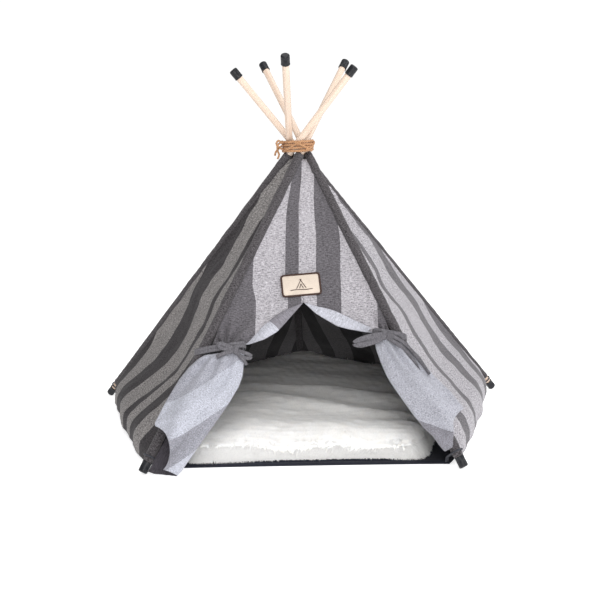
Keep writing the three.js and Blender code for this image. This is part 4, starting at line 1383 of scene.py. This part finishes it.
def build_pile(mesh, coords):
    """Short tapering locks on the cover's rounded edge, thickest and longest low down."""
    rng = np.random.default_rng(77)
    mesh.calc_loop_triangles()
    triangles = np.array([t.vertices[:] for t in mesh.loop_triangles])
    a, b, c = (coords[triangles[:, k]] for k in range(3))
    cross = np.cross(b - a, c - a)
    area = np.linalg.norm(cross, axis=1) / 2
    normal = unit_rows(cross)
    facing, z = normal[:, 2], (a + b + c)[:, 2] / 3
    edge_density = np.where((facing > -0.75) & (z > 0.0048), 3.6, 0.0)
    density = (area * np.where((z < 0.016) & (abs(facing) < 0.75), 2.6, 1.0)
               * np.where(facing > 0.93, 0.0, np.where(facing > 0.75, 0.10, edge_density)))
    count = 28000
    pick = rng.choice(len(triangles), count, p=density / density.sum())
    r1, r2 = rng.random(count), rng.random(count)
    s1 = np.sqrt(r1)
    base = (a[pick] * (1 - s1)[:, None] + b[pick] * (s1 * (1 - r2))[:, None]
            + c[pick] * (s1 * r2)[:, None])
    normal = normal[pick]
    lean = np.stack([ripple(base, 501, 5.0), ripple(base, 502, 5.0), np.zeros(count)], -1) * 1.1
    lean = lean + rng.normal(size=(count, 3)) * 0.30
    sideness = 1 - smoothstep(0.3, 0.8, normal[:, 2])
    direction = unit_rows(normal * (0.20 + 0.45 * sideness)[:, None]
                          + lean * (1 - 0.6 * sideness)[:, None]
                          + np.array([0, 0, -0.85]) * sideness[:, None])
    length = rng.uniform(0.0040, 0.0068, count)
    length = length * (1 + (0.45 + 0.35 * (base[:, 2] < 0.012)) * sideness)
    width = rng.uniform(0.0006, 0.0010, count) * (1 + 0.5 * sideness)
    side = unit_rows(np.cross(direction, rng.normal(size=(count, 3))))
    other = np.cross(direction, side)
    root = base - normal * 0.0012
    middle = root + direction * (length * 0.55)[:, None]
    sag = np.array([0, 0, -0.0010]) * rng.random(count)[:, None]
    tip = root + direction * length[:, None] + sag + lean * 0.0008
    tip[:, 2] = np.clip(tip[:, 2], 0.0024, 0.050)
    middle[:, 2] = np.clip(middle[:, 2], 0.0028, 0.050)
    verts = []
    for centre, scale in ((root, 1.0), (middle, 0.8)):
        for angle in ring_angles(3):
            spoke = side * math.cos(angle) + other * math.sin(angle)
            verts.append(centre + spoke * (width * scale)[:, None])
    verts = np.stack(verts + [tip], 1).reshape(-1, 3)
    faces = [tuple(first + k for k in face) for first in range(0, 7 * count, 7)
             for face in LOCK_FACES]
    pile = make_mesh("cushion_pile", verts, faces, (PLUSH,))
    # every lock is shaded by its root's normal, turned upwards
    shading = unit_rows(normal * [1, 1, 0.8] + [0, 0, 0.80])
    pile.data.normals_split_custom_set_from_vertices(np.repeat(shading, 7, axis=0).tolist())
    pile.visible_shadow = False     # fine fibres let the light through
    place(pile, "cushion")


build_pile(*build_cover())
underside = pad("cushion_underside", CUSHION_R - 0.004, 0.036, 0.0019, COVER_BOTTOM_Z, FLOOR_CLOTH)
place(underside, "cushion", "cushion_base")
filling = pad("cushion_wadding", CUSHION_R - 0.020, 0.038, 0.0085, 0.0330, WADDING)
place(filling, "cushion", "cushion_filling")


# ------------------------------------------------------------------ stage: floor, light, camera
def build_studio_floor():
    m = Material("studio_floor")
    m.set(Base_Color=(0.84, 0.84, 0.84, 1), Roughness=0.9, Specular_IOR_Level=0.1,
          Emission_Color=(1, 1, 1, 1), Emission_Strength=0.69)
    z = -0.0002
    floor = make_mesh("studio_floor", [(-30, -8, z), (30, -8, z), (30, 40, z), (-30, 40, z)],
                      [(0, 1, 2, 3)], (m.material,), smooth=False)


def build_world(light_strength, camera_strength):
    """White world that lights the scene at one strength and is seen at another."""
    world = bpy.data.worlds.new("studio")
    bpy.context.scene.world = world
    world.use_nodes = True
    nodes, links = world.node_tree.nodes, world.node_tree.links
    lighting, seen = nodes["Background"], nodes.new("ShaderNodeBackground")
    for background, strength in ((lighting, light_strength), (seen, camera_strength)):
        background.inputs[0].default_value = (1, 1, 1, 1)
        background.inputs[1].default_value = strength
    path, mix = nodes.new("ShaderNodeLightPath"), nodes.new("ShaderNodeMixShader")
    links.new(path.outputs["Is Camera Ray"], mix.inputs[0])
    links.new(lighting.outputs[0], mix.inputs[1])
    links.new(seen.outputs[0], mix.inputs[2])
    links.new(mix.outputs[0], nodes["World Output"].inputs[0])


def area_light(name, location, target, size, power, colour=(1, 1, 1)):
    light = bpy.data.lights.new(name, "AREA")
    light.shape = "DISK"
    light.size = size
    light.energy = power
    light.color = colour
    obj = bpy.data.objects.new(name, light)
    obj.location = location
    aim = Vector(target) - Vector(location)
    obj.rotation_euler = aim.to_track_quat("-Z", "Y").to_euler()
    bpy.context.scene.collection.objects.link(obj)


def build_camera(location, pitch, yaw, roll):
    """Camera looking along +Y, turned right by yaw and down by pitch, then rolled."""
    camera = bpy.data.cameras.new("cam")
    camera.sensor_width = 36.0
    camera.lens = 51.05
    camera.clip_start = 0.05
    obj = bpy.data.objects.new("cam", camera)
    bpy.context.scene.collection.objects.link(obj)
    forward = Vector((math.sin(yaw) * math.cos(pitch), math.cos(yaw) * math.cos(pitch),
                      -math.sin(pitch)))
    level = Vector((math.cos(yaw), -math.sin(yaw), 0))
    upright = level.cross(forward)
    right = math.cos(roll) * level + math.sin(roll) * upright
    up = -math.sin(roll) * level + math.cos(roll) * upright
    rotation = Matrix((right, up, -forward)).transposed()
    obj.matrix_world = Matrix.Translation(location) @ rotation.to_4x4()
    bpy.context.scene.camera = obj


build_studio_floor()
build_world(light_strength=0.42, camera_strength=1.05)
area_light("key", location=(0.45, -1.9, 2.2), target=(0, 0, 0.15), size=2.4, power=41,
           colour=(1.0, 0.99, 0.97))
area_light("side", location=(2.4, -0.4, 1.6), target=(0.1, 0, 0.2), size=1.6, power=20,
           colour=(0.97, 0.98, 1.0))
area_light("front", location=(0.1, -2.6, 0.50), target=(0, 0, 0.03), size=1.2, power=15,
           colour=(1.0, 0.995, 0.98))
area_light("top", location=(0.2, 0.3, 2.8), target=(0, 0, 0.2), size=2.0, power=12)
build_camera((-0.00433, -1.4184, 0.4702), pitch=math.radians(10.77), yaw=math.radians(0.168),
             roll=-0.01576)
bpy.context.scene.view_settings.view_transform = "Standard"
